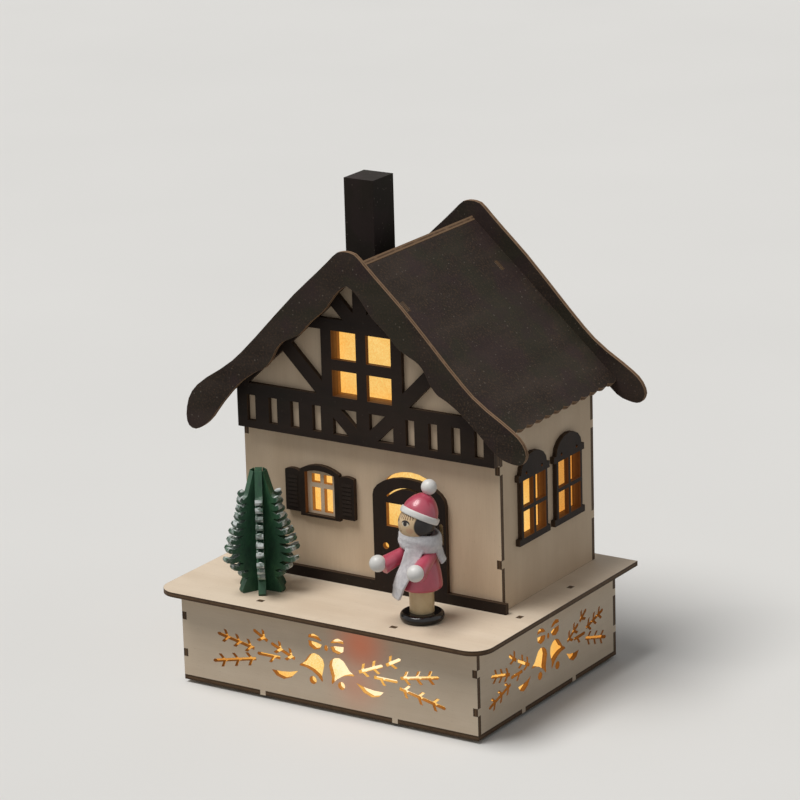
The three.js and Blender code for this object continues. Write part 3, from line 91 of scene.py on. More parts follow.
class NodeKit:
    """Adds and links nodes in one node tree."""

    COLOUR_MIX = (0, 6, 7)

    def __init__(self, tree: bpy.types.NodeTree) -> None:
        """Keeps the tree that the nodes go in."""
        self.tree = tree

    def feed(self, target: Socket, value: object) -> None:
        """Links a socket to an input, or sets a plain value on it."""
        if isinstance(value, Socket):
            self.tree.links.new(value, target)
        else:
            target.default_value = value

    def fill(self, node: Node, **values: object) -> Node:
        """Feeds a node's inputs by name and returns the node. An underscore stands for a space."""
        for name, value in values.items():
            self.feed(node.inputs[name.replace("_", " ")], value)
        return node

    def pair(self, node: Node, first: object, second: object) -> Node:
        """Feeds a node's first two inputs and returns the node."""
        self.feed(node.inputs[0], first)
        self.feed(node.inputs[1], second)
        return node

    def add(self, kind: str, **values: object) -> Node:
        """Adds one node.

        Args:
            kind: The node's type name.
            values: Its settings in small letters, and its inputs with a capital letter.

        Returns:
            The new node.
        """
        node = self.tree.nodes.new(kind)
        inputs = {name: value for name, value in values.items() if name[0].isupper()}
        for name, value in values.items():
            if name not in inputs:
                setattr(node, name, value)
        return self.fill(node, **inputs)

    def made(self, kind: str, **values: object) -> Socket:
        """Returns the first output of a new node."""
        return self.add(kind, **values).outputs[0]

    def math(self, operation: str, first: object, second: object = 0.0, clamp: bool = False) -> Socket:
        """Returns the result of one sum on two numbers."""
        node = self.add("ShaderNodeMath", operation=operation, use_clamp=clamp)
        return self.pair(node, first, second).outputs[0]

    plus = partialmethod(math, "ADD")
    less = partialmethod(math, "SUBTRACT")
    times = partialmethod(math, "MULTIPLY")
    over = partialmethod(math, "DIVIDE")
    power = partialmethod(math, "POWER")
    most = partialmethod(math, "MAXIMUM")
    size = partialmethod(math, "ABSOLUTE")
    sine = partialmethod(math, "SINE")

    def scaled(self, value: object, by: object, more: object) -> Socket:
        """Returns a number after a multiplication and an addition."""
        return self.plus(more, self.times(value, by))

    def vector(self, operation: str, first: object, second: object = (0, 0, 0)) -> Socket:
        """Returns the result of one sum on two vectors."""
        node = self.pair(self.add("ShaderNodeVectorMath", operation=operation), first, second)
        number = operation in ("DOT_PRODUCT", "DISTANCE", "LENGTH")
        return node.outputs["Value" if number else "Vector"]

    dot = partialmethod(vector, "DOT_PRODUCT")
    away = partialmethod(vector, "SUBTRACT")

    def combine(self, x: object, y: object, z: object) -> Socket:
        """Returns a vector of three numbers."""
        return self.made("ShaderNodeCombineXYZ", X=x, Y=y, Z=z)

    def split(self, vector: Socket) -> tuple[Socket, ...]:
        """Returns the three numbers of a vector."""
        return tuple(self.add("ShaderNodeSeparateXYZ", Vector=vector).outputs)

    def noise(self, at: object, scale: float, detail: float = 2.0, rough: float = 0.5) -> Socket:
        """Returns soft noise from 0 to 1."""
        return self.made("ShaderNodeTexNoise", Vector=at, Scale=scale, Detail=detail, Roughness=rough)

    def smooth(self, value: object, low: float, high: float) -> Socket:
        """Returns 0 below low, 1 above high, with a soft step between."""
        step = {"interpolation_type": "SMOOTHSTEP", "From_Min": low, "From_Max": high}
        return self.made("ShaderNodeMapRange", Value=value, **step)

    def fade(self, value: object, low: float, high: float) -> Socket:
        """Returns 1 below low, 0 above high, with a soft step between."""
        return self.less(1.0, self.smooth(value, low, high))

    def ramp(self, value: object, *stops: tuple[float, Colour], step: bool = False) -> Socket:
        """Turns a number into a colour.

        Args:
            value: The number, from 0 to 1.
            stops: Places and their colours, in order.
            step: Keeps each colour to the next stop.

        Returns:
            The colour.
        """
        node = self.add("ShaderNodeValToRGB")
        band = node.color_ramp
        band.interpolation = "CONSTANT" if step else "LINEAR"
        while len(band.elements) < len(stops):
            band.elements.new(1.0)
        for element, (at, colour) in zip(band.elements, stops):
            element.position, element.color = at, (*colour, 1)
        self.feed(node.inputs[0], value)
        return node.outputs[0]

    def mix(self, share: object, first: object, second: object) -> Socket:
        """Returns the first colour where share is 0 and the second where it is 1."""
        node = self.add("ShaderNodeMix", data_type="RGBA")
        for target, value in zip(self.COLOUR_MIX, (share, first, second)):
            self.feed(node.inputs[target], (*value, 1) if isinstance(value, tuple) else value)
        return node.outputs[2]

    def laid(self, ground: object, mask: Socket, share: float, colour: Colour) -> Socket:
        """Returns a ground colour with another laid over it, as thick as share says."""
        return self.mix(self.times(mask, share), ground, colour)

    def bump(self, height: object, distance: float, strength: float = 1.0) -> Socket:
        """Returns a normal that is tilted by a height."""
        return self.made("ShaderNodeBump", Height=height, Distance=distance, Strength=strength)


class PaintKit(NodeKit):
    """The nodes of one new material."""

    def __init__(self, name: str) -> None:
        """Starts the material."""
        self.material = bpy.data.materials.new(name)
        self.material.use_nodes = True
        super().__init__(self.material.node_tree)

    @cached_property
    def place(self) -> Socket:
        """The point on the surface, in the object's own frame."""
        return self.add("ShaderNodeTexCoord").outputs["Object"]

    @cached_property
    def facing(self) -> Socket:
        """The direction that the face itself looks in."""
        return self.add("ShaderNodeNewGeometry").outputs["True Normal"]

    def cloud(self, scale: float, detail: float = 2.0, rough: float = 0.5) -> Socket:
        """Returns soft noise on the surface."""
        return self.noise(self.place, scale, detail, rough)

    def coat(self, **values: object) -> Material:
        """Feeds the shader's inputs by name and returns the material."""
        self.fill(self.tree.nodes["Principled BSDF"], **values)
        return self.material


def metres(point: Sequence[float]) -> tuple[float, ...]:
    """Returns a place in metres."""
    return tuple(x * MM for x in point)


@dataclass(frozen=True)
class Spot:
    """A lamp behind a sheet, and how far its light spreads."""

    at: Triple
    reach: float
    level: float = 1.0

    def distance(self, kit: PaintKit) -> Socket:
        """Returns how far the surface is from the spot, as a share of its reach."""
        return kit.over(kit.vector("DISTANCE", kit.place, metres(self.at)), self.reach * MM)


@dataclass(frozen=True)
class Glow:
    """Warm light that falls off from a few spots, deep orange where it is weak."""

    spots: tuple[Spot, ...]
    least: float
    stops: Stops = (
        (0.0, (0.03, 0.007, 0.001)), (0.3, (0.38, 0.125, 0.016)), (0.6, (0.80, 0.42, 0.085)),
        (0.85, (0.92, 0.62, 0.20)), (1.0, (1.0, 0.86, 0.55)),
    )

    def level(self, kit: PaintKit) -> Socket:
        """Returns how bright the light is on the surface, from 0 to 1."""
        level: object = self.least
        for spot in self.spots:
            fall = kit.plus(kit.power(spot.distance(kit), 2.0), 1.0)
            level = kit.most(level, kit.over(spot.level, fall))
        return level

    def colour(self, kit: NodeKit, level: Socket) -> Socket:
        """Returns the colour of the light."""
        return kit.ramp(level, *self.stops)


HOUSE_GLOW = Glow((
    Spot((-20, -22, 110), 80, 0.74), Spot((30, -22, 120), 70, 0.82), Spot((0, -22, 200), 60, 0.77),
    Spot((82, 0, 100), 56, 0.74), Spot((-82, 0, 100), 56, 0.74),
), 0.42)
BASE_GLOW = Glow((
    Spot((32, -77, 35), 50, 1.3), Spot((-14, -77, 34), 52, 0.86), Spot((99, -20, 32), 66, 0.76),
    Spot((-99, -20, 32), 66, 0.76),
), 0.40)


@dataclass(frozen=True)
class LitCuts:
    """A region in which the cut edges of a sheet catch the light from inside."""

    low: Triple
    high: Triple
    glow: Glow
    share: float

    def mask(self, kit: PaintKit) -> Socket:
        """Returns 1 inside the region."""
        low, high = Vector(self.low) * MM, Vector(self.high) * MM
        off = kit.vector("ABSOLUTE", kit.away(kit.place, tuple((low + high) / 2)))
        x, y, z = kit.split(kit.away(off, tuple((high - low) / 2)))
        return kit.math("LESS_THAN", kit.most(x, kit.most(y, z)), 0.0)


@dataclass(frozen=True)
class Tones:
    """The colours and surface of one kind of plywood. Pale birch has the usual edges."""

    light: Colour
    dark: Colour
    edge: Colour = (0.062, 0.035, 0.017)
    core: Colour = (0.12, 0.07, 0.036)
    scorch: float = 0.7
    specks: float = 0.0
    roughness: float = 0.62
    specular: float = 0.25


BIRCH = Tones((0.78, 0.66, 0.52), (0.685, 0.56, 0.425))
PANEL = Tones((0.78, 0.655, 0.51), (0.685, 0.555, 0.415))
# The walls' and gable's birch, darker and warmer than BIRCH: painted warm shade, as if from light bounced
# between the boards.
WALL_WARM_SHADE = Tones((0.74, 0.59, 0.43), (0.645, 0.495, 0.345))
STAIN = Tones(
    (0.052, 0.039, 0.032), (0.019, 0.014, 0.011), (0.25, 0.158, 0.095), (0.12, 0.073, 0.044),
    scorch=0.5, specks=1.0, roughness=0.72, specular=0.12,
)
TRIM = Tones(
    (0.027, 0.017, 0.012), (0.012, 0.008, 0.006), (0.062, 0.038, 0.023), (0.04, 0.024, 0.015),
    scorch=0.25, specks=0.2, roughness=0.6, specular=0.14,
)
# The chimney's stain, darker than STAIN on all its faces: painted shade on the block.
CHIMNEY_SHADED_STAIN = Tones(
    (0.022, 0.017, 0.013), (0.011, 0.008, 0.006), (0.011, 0.008, 0.006), (0.022, 0.017, 0.013),
    scorch=0.0, specks=0.6, roughness=0.68, specular=0.12,
)

# Marks of the grain to the metre, along it and across it
FIBRE, BROAD, PORES = (60, 1300), (8, 60), (330, 2600)

# Scale, detail and roughness of the wood's clouds and of the grit in the stain
CLOUD, GRIT = (34, 3.0, 0.6), (800, 3.0, 0.75)


@dataclass(frozen=True)
class SheetWood:
    """Plywood with a grain on its faces and plies on its cut edges."""

    name: str
    tones: Tones
    facing: Triple
    grain: Triple
    low: float
    seed: float
    plies: bool = True
    lit: Sequence[LitCuts] = ()
    show_through: Sequence[Spot] = ()
    thickness: float = 3.0
    scorch_width: float = 0.45
    texture: float = 0.05
    # Painted glow: a red tint laid into the face's colour where a lamp close behind shows through the thin
    # sheet.
    lamp_glow_tint: Colour = (0.50, 0.17, 0.09)
    red_light: Colour = (0.20, 0.037, 0.013)
    green_cast: Colour = (0.027, 0.030, 0.017)
    plum_cast: Colour = (0.040, 0.023, 0.026)
    dust: Colour = (0.26, 0.22, 0.18)
    dust_cells: float = 420.0
    dust_least: float = 0.58
    lamp_glow_share: float = 0.7
    pore_share: float = 0.3
    grit_share: float = 0.6
    cast_share: float = 0.4
    dust_share: float = 0.32

    def make(self) -> Material:
        """Returns the material."""
        kit, tones = PaintKit(self.name), self.tones
        on_face = kit.smooth(kit.size(kit.dot(kit.facing, self.facing)), 0.5, 0.8)
        fibre = self.streaks(kit, FIBRE)
        face = kit.laid(self.face(kit, fibre), self.near_cut(kit), tones.scorch, tones.edge)
        through = self.through(kit)
        if through:
            # Painted glow: the face's colour turns red where a lamp close behind shows through.
            face = kit.laid(face, through, self.lamp_glow_share, self.lamp_glow_tint)
        if self.lit or through:
            kit.coat(Emission_Strength=1.0, Emission_Color=self.light(kit, on_face, through))
        return kit.coat(
            Base_Color=kit.mix(on_face, self.edge(kit), face) if self.plies else face,
            Roughness=kit.scaled(fibre, 0.2, tones.roughness - 0.08),
            Normal=kit.bump(fibre, self.texture * MM, 0.7), Specular_IOR_Level=tones.specular,
        )

    def streaks(self, kit: PaintKit, marks: Point) -> Socket:
        """Returns noise drawn out along the grain."""
        side = tuple(Vector(self.facing).cross(Vector(self.grain)))
        ways = zip((self.grain, side), marks)
        along, across = (kit.times(kit.dot(kit.place, way), by) for way, by in ways)
        return kit.noise(kit.combine(along, across, self.seed), 1.0, 3.0, 0.55)

    def face(self, kit: PaintKit, fibre: Socket) -> Socket:
        """Returns the colour of the sheet's faces."""
        tones, specks = self.tones, self.tones.specks
        figure = kit.scaled(fibre, 0.2, kit.times(self.streaks(kit, BROAD), 0.5))
        figure = kit.scaled(kit.cloud(*CLOUD), 0.3, figure)
        face = kit.ramp(figure, (0.36, tones.dark), (0.64, tones.light))
        pores = kit.smooth(self.streaks(kit, PORES), 0.64, 0.76)
        face = kit.laid(face, pores, self.pore_share, tones.core)
        if not specks:
            return face
        grit = kit.smooth(kit.cloud(*GRIT), 0.48, 0.74)
        face = kit.laid(face, grit, self.grit_share * specks, tones.core)
        for scale, cast in ((31.0, self.green_cast), (43.0, self.plum_cast)):
            patch = kit.smooth(kit.cloud(scale, 3.0), 0.48, 0.64)
            face = kit.laid(face, patch, self.cast_share * specks, cast)
        cells = kit.add("ShaderNodeTexVoronoi", Vector=kit.place, Scale=self.dust_cells).outputs
        size = kit.times(kit.less(kit.split(cells["Color"])[0], self.dust_least), 0.6)
        dust = kit.smooth(kit.less(size, cells["Distance"]), 0.0, 0.05)
        return kit.laid(face, dust, self.dust_share * specks, self.dust)

    def edge(self, kit: PaintKit) -> Socket:
        """Returns the colour of the sheet's cut edges, ply by ply."""
        edge, core = self.tones.edge, self.tones.core
        share = kit.over(kit.less(kit.dot(kit.place, self.facing), self.low), self.thickness * MM)
        plies = kit.ramp(share, (0.0, edge), (0.34, core), (0.66, edge), step=True)
        return kit.mix(kit.smooth(kit.cloud(260, 3.0), 0.45, 0.75), plies, edge)

    def near_cut(self, kit: PaintKit) -> Socket:
        """Returns 1 on the thin line beside a cut."""
        rounded = kit.made("ShaderNodeBevel", samples=4, Radius=self.scorch_width * MM)
        return kit.fade(kit.dot(rounded, kit.facing), 0.72, 0.985)

    def through(self, kit: PaintKit) -> Socket | None:
        """Returns how much of a lamp close behind the thin sheet shows through it."""
        seen = None
        for spot in self.show_through:
            near = kit.fade(spot.distance(kit), 0.0, 1.0)
            level = kit.times(kit.power(near, 1.4), spot.level)
            seen = kit.most(seen, level) if seen else level
        return seen

    def light(self, kit: PaintKit, on_face: Socket, through: Socket | None) -> Socket:
        """Returns the light on cut edges and the light that comes through the sheet."""
        glow: object = (0.0, 0.0, 0.0)
        uneven = kit.scaled(kit.cloud(480), 0.9, 0.55)
        for cuts in self.lit:
            level = kit.times(kit.power(cuts.glow.level(kit), 1.8), cuts.share)
            inside = kit.times(cuts.mask(kit), kit.less(1.0, on_face))
            glow = kit.mix(inside, glow, cuts.glow.colour(kit, kit.times(level, uneven)))
        if through:
            glow = kit.mix(kit.times(through, on_face), glow, self.red_light)
        return glow


@dataclass(frozen=True)
class GlowPaper:
    """A diffusing sheet that is lit from behind and brightest near its lamps."""

    name: str
    glow: Glow
    light: Colour = (0.40, 0.27, 0.11)
    dark: Colour = (0.30, 0.19, 0.07)

    def make(self) -> Material:
        """Returns the material."""
        kit = PaintKit(self.name)
        fleck, cloud = kit.cloud(1300, 2.0, 0.75), kit.cloud(60)
        level = kit.times(self.glow.level(kit), kit.scaled(fleck, 0.76, 0.62))
        level = kit.times(level, kit.scaled(cloud, 0.2, 0.9), clamp=True)
        return kit.coat(
            Base_Color=kit.ramp(fleck, (0.3, self.dark), (0.7, self.light)), Roughness=0.8,
            Emission_Color=self.glow.colour(kit, level), Emission_Strength=1.0,
        )


@dataclass(frozen=True)
class Finish:
    """A plain finish with a little colour change, sheen and surface texture."""

    name: str
    light: Colour
    dark: Colour
    roughness: float
    scale: float
    bump: float
    metallic: float = 0.0
    coat: float = 0.0
    sheen: float = 0.0
    glow: float = 0.0
    specular: float = 0.5

    def make(self) -> Material:
        """Returns the material."""
        kit = PaintKit(self.name)
        cloud, fine = kit.cloud(self.scale, 3.0, 0.6), kit.cloud(self.scale * 9)
        colour = self.paint(kit, kit.ramp(cloud, (0.35, self.dark), (0.65, self.light)))
        if self.glow:
            kit.coat(Emission_Color=colour, Emission_Strength=self.glow)
        return kit.coat(
            Base_Color=colour, Roughness=kit.scaled(cloud, 0.12, self.roughness - 0.06),
            Normal=kit.bump(fine, self.bump * MM), Metallic=self.metallic, Coat_Weight=self.coat,
            Coat_Roughness=0.12, Sheen_Weight=self.sheen, Specular_IOR_Level=self.specular,
        )

    def paint(self, kit: PaintKit, ground: Socket) -> Socket:
        """Returns the colour with anything painted over the ground colour."""
        return ground


@dataclass(frozen=True)
class FacePaint(Finish):
    """Lacquered head with painted face and hair, drawn by bearing and height in degrees."""

    centre: Triple = (0, 0, 0)
    turn: float = 0.0
    eye: Point = (24.0, 11.0)
    hair: tuple[float, ...] = (86.0, 4.0, 33, 36)
    ink: Colour = (0.012, 0.009, 0.008)
    blush: Colour = (0.62, 0.24, 0.17)
    eye_white: Colour = (0.66, 0.60, 0.48)
    fringe: Colour = (0.10, 0.035, 0.02)
    fringe_pitch: float = 9.5
    lips: Colour = (0.16, 0.03, 0.025)

    def paint(self, kit: PaintKit, ground: Socket) -> Socket:
        """Returns the head's colour with its face and hair."""
        about = {"Location": metres(self.centre), "Rotation": (0, 0, radians(self.turn))}
        moved = kit.made("ShaderNodeMapping", vector_type="TEXTURE", Vector=kit.place, **about)
        right, back, up = kit.split(kit.vector("NORMALIZE", moved))
        bearing = kit.times(kit.math("ARCTAN2", right, kit.times(back, -1.0)), DEGREES)
        height = kit.times(kit.math("ARCSINE", up), DEGREES)
        side = kit.size(bearing)

        def oval(across: float, rise: float, wide: float, tall: float) -> Socket:
            """Returns 1 inside an oval on both sides of the face."""
            parts = ((side, across, wide), (height, rise, tall))
            far = (kit.over(kit.less(value, middle), half) for value, middle, half in parts)
            return kit.fade(kit.plus(*(kit.power(kit.size(share), 2) for share in far)), 0.82, 1.12)

        def without(first: object, second: object) -> Socket:
            """Returns the first mask without the second."""
            return kit.less(first, second, clamp=True)

        x, z = self.eye
        colour = kit.laid(ground, oval(x + 16, z - 20, 13, 9), 0.3, self.blush)
        colour = kit.mix(oval(x, z, 13.5, 7.5), colour, self.eye_white)
        colour = kit.mix(oval(x - 1, z + 0.8, 7.6, 7.6), colour, self.ink)
        lid = without(oval(x, z + 1.6, 16.0, 10.5), oval(x - 0.8, z - 3.0, 15.5, 9.2))
        colour = kit.mix(lid, colour, self.ink)
        stroke = kit.smooth(kit.sine(kit.times(bearing, 2 * pi / self.fringe_pitch)), 0.0, 0.6)
        band = kit.times(kit.smooth(height, 23, 26), without(1.0, kit.smooth(side, 50, 56)))
        colour = kit.laid(colour, kit.times(stroke, band), 0.85, self.fringe)
        smile = without(oval(0, -12.0, 10, 5.5), oval(0, -10.2, 11.5, 5.5))
        colour = kit.mix(smile, colour, self.lips)
        return kit.mix(kit.most(oval(*self.hair), kit.smooth(side, 96, 100)), colour, self.ink)


@dataclass(frozen=True)
class FirPaint:
    """Green stain with a little snow brushed over the branch ends."""

    name: str
    axis: Point
    foot: float
    height: float
    widest: float
    reaches: Line
    greens: Stops = (
        (0.3, (0.010, 0.040, 0.022)), (0.58, (0.022, 0.086, 0.040)), (0.8, (0.055, 0.17, 0.07)),
    )
    snow: Colour = (0.66, 0.70, 0.70)
    snow_share: float = 0.9
    spray_share: float = 0.55
    snow_from: Point = (0.10, 0.2)
    snow_to: Point = (0.79, 0.83)
    brush: Triple = (150, 150, 60)
    texture: float = 0.3

    def make(self) -> Material:
        """Returns the material."""
        kit = PaintKit(self.name)
        x, y, z = kit.split(kit.away(kit.place, metres((*self.axis, self.foot))))
        up = kit.over(z, self.height * MM)
        stops = [(z / self.height, (r / self.widest,) * 3) for r, z in self.reaches]
        out = kit.vector("LENGTH", kit.combine(x, y, 0.0))
        share = kit.over(out, kit.times(kit.ramp(up, *stops), self.widest * MM))
        dab = kit.cloud(520, 4.0, 0.7)
        ragged = kit.scaled(kit.less(dab, 0.5), 0.9, share)
        belt = kit.times(kit.smooth(up, *self.snow_from), kit.fade(up, *self.snow_to))
        outward = kit.dot(kit.facing, kit.vector("NORMALIZE", kit.combine(x, y, 0.0)))
        on_top = kit.smooth(kit.most(kit.split(kit.facing)[2], outward), 0.15, 0.5)
        patch = kit.smooth(kit.cloud(150), 0.36, 0.62)
        thick = kit.times(kit.times(on_top, kit.smooth(ragged, 0.66, 0.95)), patch)
        spray = kit.times(kit.smooth(ragged, 0.86, 1.2), self.spray_share)
        snow = kit.times(kit.most(thick, spray), belt)
        brush = kit.noise(kit.vector("MULTIPLY", kit.place, self.brush), 1.0, 4.0, 0.65)
        return kit.coat(
            Base_Color=kit.laid(kit.ramp(brush, *self.greens), snow, self.snow_share, self.snow),
            Roughness=kit.scaled(dab, 0.3, 0.42), Normal=kit.bump(dab, self.texture * MM, 0.6),
        )


BLACK_PLASTIC = Finish("black_plastic", (0.020, 0.020, 0.022), (0.012, 0.012, 0.013), 0.48, 300, 0.03)
CELL_SLEEVE = Finish("cell_sleeve", (0.035, 0.13, 0.065), (0.02, 0.085, 0.042), 0.3, 90, 0.01, coat=0.4)
CONTACT_STEEL = Finish("contact_steel", (0.72, 0.73, 0.74), (0.55, 0.56, 0.57), 0.3, 200, 0.01, metallic=1.0)
CIRCUIT = Finish("circuit_board", (0.03, 0.15, 0.07), (0.015, 0.09, 0.04), 0.4, 160, 0.02, coat=0.3)
LAMP_LENS = Finish("lamp_lens", (1.0, 0.86, 0.55), (0.98, 0.76, 0.42), 0.15, 80, 0.01, coat=0.5, glow=1.0)
LEAD_SHEATH = Finish("lead_sheath", (0.026, 0.026, 0.028), (0.014, 0.014, 0.015), 0.55, 260, 0.02)
PAD_FELT = Finish("pad_felt", (0.075, 0.07, 0.062), (0.035, 0.032, 0.028), 0.95, 500, 0.25, sheen=0.4)
SCARF_FELT = Finish("scarf_felt", (0.80, 0.79, 0.81), (0.64, 0.63, 0.66), 0.95, 420, 0.3, sheen=0.5)
YARN = Finish("plait_yarn", (0.36, 0.24, 0.09), (0.13, 0.075, 0.025), 0.8, 700, 0.2, sheen=0.2)
SNOW = Finish("snow_paint", (0.78, 0.80, 0.80), (0.16, 0.25, 0.20), 0.6, 230, 0.2)
PINK = Finish("pink_lacquer", (0.56, 0.085, 0.14), (0.45, 0.06, 0.10), 0.3, 60, 0.03, coat=0.4)
WHITE = Finish("white_lacquer", (0.80, 0.79, 0.77), (0.70, 0.69, 0.67), 0.45, 90, 0.05, coat=0.15)
CREAM = Finish("cream_lacquer", (0.66, 0.52, 0.30), (0.54, 0.40, 0.21), 0.35, 70, 0.03, coat=0.3)
BLACK = Finish(
    "black_lacquer", (0.010, 0.008, 0.008), (0.005, 0.004, 0.004), 0.2, 50, 0.02, coat=0.25, specular=0.3,
)


def turn_about(axis: str, degrees: float) -> Matrix:
    """Returns a turn about an axis."""
    return Matrix.Rotation(radians(degrees), 4, axis)


def eased(points: Sequence[Point], steps: int = 6) -> list[Point]:
    """Draws a smooth line through a few points.

    Args:
        points: The points, in order.
        steps: Pieces between two points.

    Returns:
        The points of the line, the first and last ones among them.
    """
    line = [Vector(p) for p in points]
    line = [line[0] * 2 - line[1], *line, line[-1] * 2 - line[-2]]
    made: list[Point] = []
    for a, b, c, d in zip(line, line[1:], line[2:], line[3:]):
        for t in (i / steps for i in range(steps)):
            at = b * 2 + (c - a) * t + (a * 2 - b * 5 + c * 4 - d) * t * t + (b * 3 - a - c * 3 + d) * t ** 3
            made.append((max(at.x, 0.0) / 2, at.y / 2))
    return [*made, tuple(points[-1])]


def ball(radius: float, low: float, high: float, steps: int = 24) -> list[Point]:
    """Returns a ball's profile about its middle, between two heights."""
    start, end = (asin(max(-1.0, min(1.0, z / radius))) for z in (low, high))
    angles = [start + (end - start) * i / steps for i in range(steps + 1)]
    return [(radius * cos(a), radius * sin(a)) for a in angles]


def read_off(line: Sequence[Point], height: float) -> float:
    """Returns a profile's radius at a height, and its end's radius past an end."""
    if height <= line[0][1]:
        return line[0][0]
    for (r0, z0), (r1, z1) in zip(line, line[1:]):
        if height <= z1:
            return r0 + (r1 - r0) * (height - z0) / (z1 - z0)
    return line[-1][0]


class MeshMaker:
    """Gathers points and faces in millimetres, and makes one object of them."""

    def __init__(self) -> None:
        """Starts with nothing."""
        self.points: list[Vector] = []
        self.faces: list[Sequence[int]] = []
        self.finishes: list[int] = []

    def face(self, finish: int, corners: Sequence[int]) -> None:
        """Adds one face."""
        self.faces.append(corners)
        self.finishes.append(finish)

    def turned(self, profile: Sequence[Point], matrix: Matrix, finish: int = 0, sides: int = ROUND) -> Self:
        """Turns a profile about its own upright axis.

        Args:
            profile: Radius and height of each point, anticlockwise seen with the axis on the left.
            matrix: Where the turned form goes.
            finish: Which of the piece's finishes it has.
            sides: Faces round the axis.

        Returns:
            The same maker.
        """
        rows: list[list[int]] = []
        for radius, height in profile:
            pole = radius < 1e-6
            first = len(self.points)
            for angle in (2 * pi * i / sides for i in range(1 if pole else sides)):
                self.points.append(matrix @ Vector((radius * cos(angle), radius * sin(angle), height)))
            rows.append([first] * sides if pole else list(range(first, first + sides)))
        for low, high in zip(rows, rows[1:]):
            for i in range(sides):
                j = (i + 1) % sides
                corners = list(dict.fromkeys((low[i], low[j], high[j], high[i])))
                if len(corners) > 2:
                    self.face(finish, corners)
        return self

    def sheet(self, rows: int, columns: int, at: Surface, loop: bool = False) -> None:
        """Lays a grid of quads.

        Args:
            rows: Faces along the first direction.
            columns: Faces along the second direction.
            at: Gives the point for two shares from 0 to 1.
            loop: Joins the last row to the first.
        """
        first, wide = len(self.points), columns + 1
        count = rows if loop else rows + 1
        self.points += [at(i / rows, j / columns) for i in range(count) for j in range(wide)]
        for i in range(rows):
            near, far = first + i * wide, first + (i + 1) % count * wide
            for j in range(columns):
                self.face(0, (near + j, near + j + 1, far + j + 1, far + j))

    def build(self, name: str, materials: Sequence[Material], crease: float) -> Piece:
        """Makes the object, at the origin with its place in its mesh.

        Args:
            name: The object's name.
            materials: Its finishes, in the order that the faces name them.
            crease: The angle in degrees above which an edge stays sharp.

        Returns:
            The object.
        """
        mesh = bpy.data.meshes.new(name)
        mesh.from_pydata([p * MM for p in self.points], [], self.faces)
        mesh.polygons.foreach_set("material_index", self.finishes)
        for material in materials:
            mesh.materials.append(material)
        mesh.shade_smooth()
        mesh.set_sharp_from_angle(angle=radians(crease))
        return link(bpy.data.objects.new(name, mesh))

    def stand_for(
        self, node: str, slot: str, *materials: Material, crease: float = 45, form: str = "turned",
    ) -> Piece:
        """Makes the object, and lets it stand for one of the house's solids.

        Args:
            node: The solid.
            slot: Not used.
            materials: Its finishes.
            crease: The angle in degrees above which an edge stays sharp.
            form: The word that its name ends with.

        Returns:
            The object.
        """
        return carried(self.build(f"{node}_{form}", materials, crease), Body.HOUSE, slot, node)


def link(piece: Piece) -> Piece:
    """Puts an object in the scene and returns it."""
    bpy.context.scene.collection.objects.link(piece)
    return piece


def made_plain(piece: Piece) -> Piece:
    """Turns what a piece's modifiers show into its own plain mesh, and returns the piece."""
    evaluated = piece.evaluated_get(bpy.context.evaluated_depsgraph_get())
    mesh = bpy.data.meshes.new_from_object(evaluated)
    piece.modifiers.clear()
    piece.data = mesh
    mesh.name = piece.name
    return piece


def carried(piece: Piece, body: Body, slot: str, *nodes: str) -> Piece:
    """Lets a piece ride on a body and stand for solids.

    Args:
        piece: The piece.
        body: The body that it moves with.
        slot: Not used.
        nodes: Solids that it stands for.

    Returns:
        The same piece.
    """
    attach(piece, body.value)
    if nodes:
        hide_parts(*nodes)
    log.info("%s rides on %s", piece.name, body.value)
    return piece


def dress(material: Material, *nodes: str) -> None:
    """Gives solids their material."""
    for node in nodes:
        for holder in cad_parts[node].material_slots:
            holder.material = material
        log.info("%s wears %s", node, material.name)


def worn_by(node: str) -> Material:
    """Returns the material of a solid."""
    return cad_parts[node].material_slots[0].material


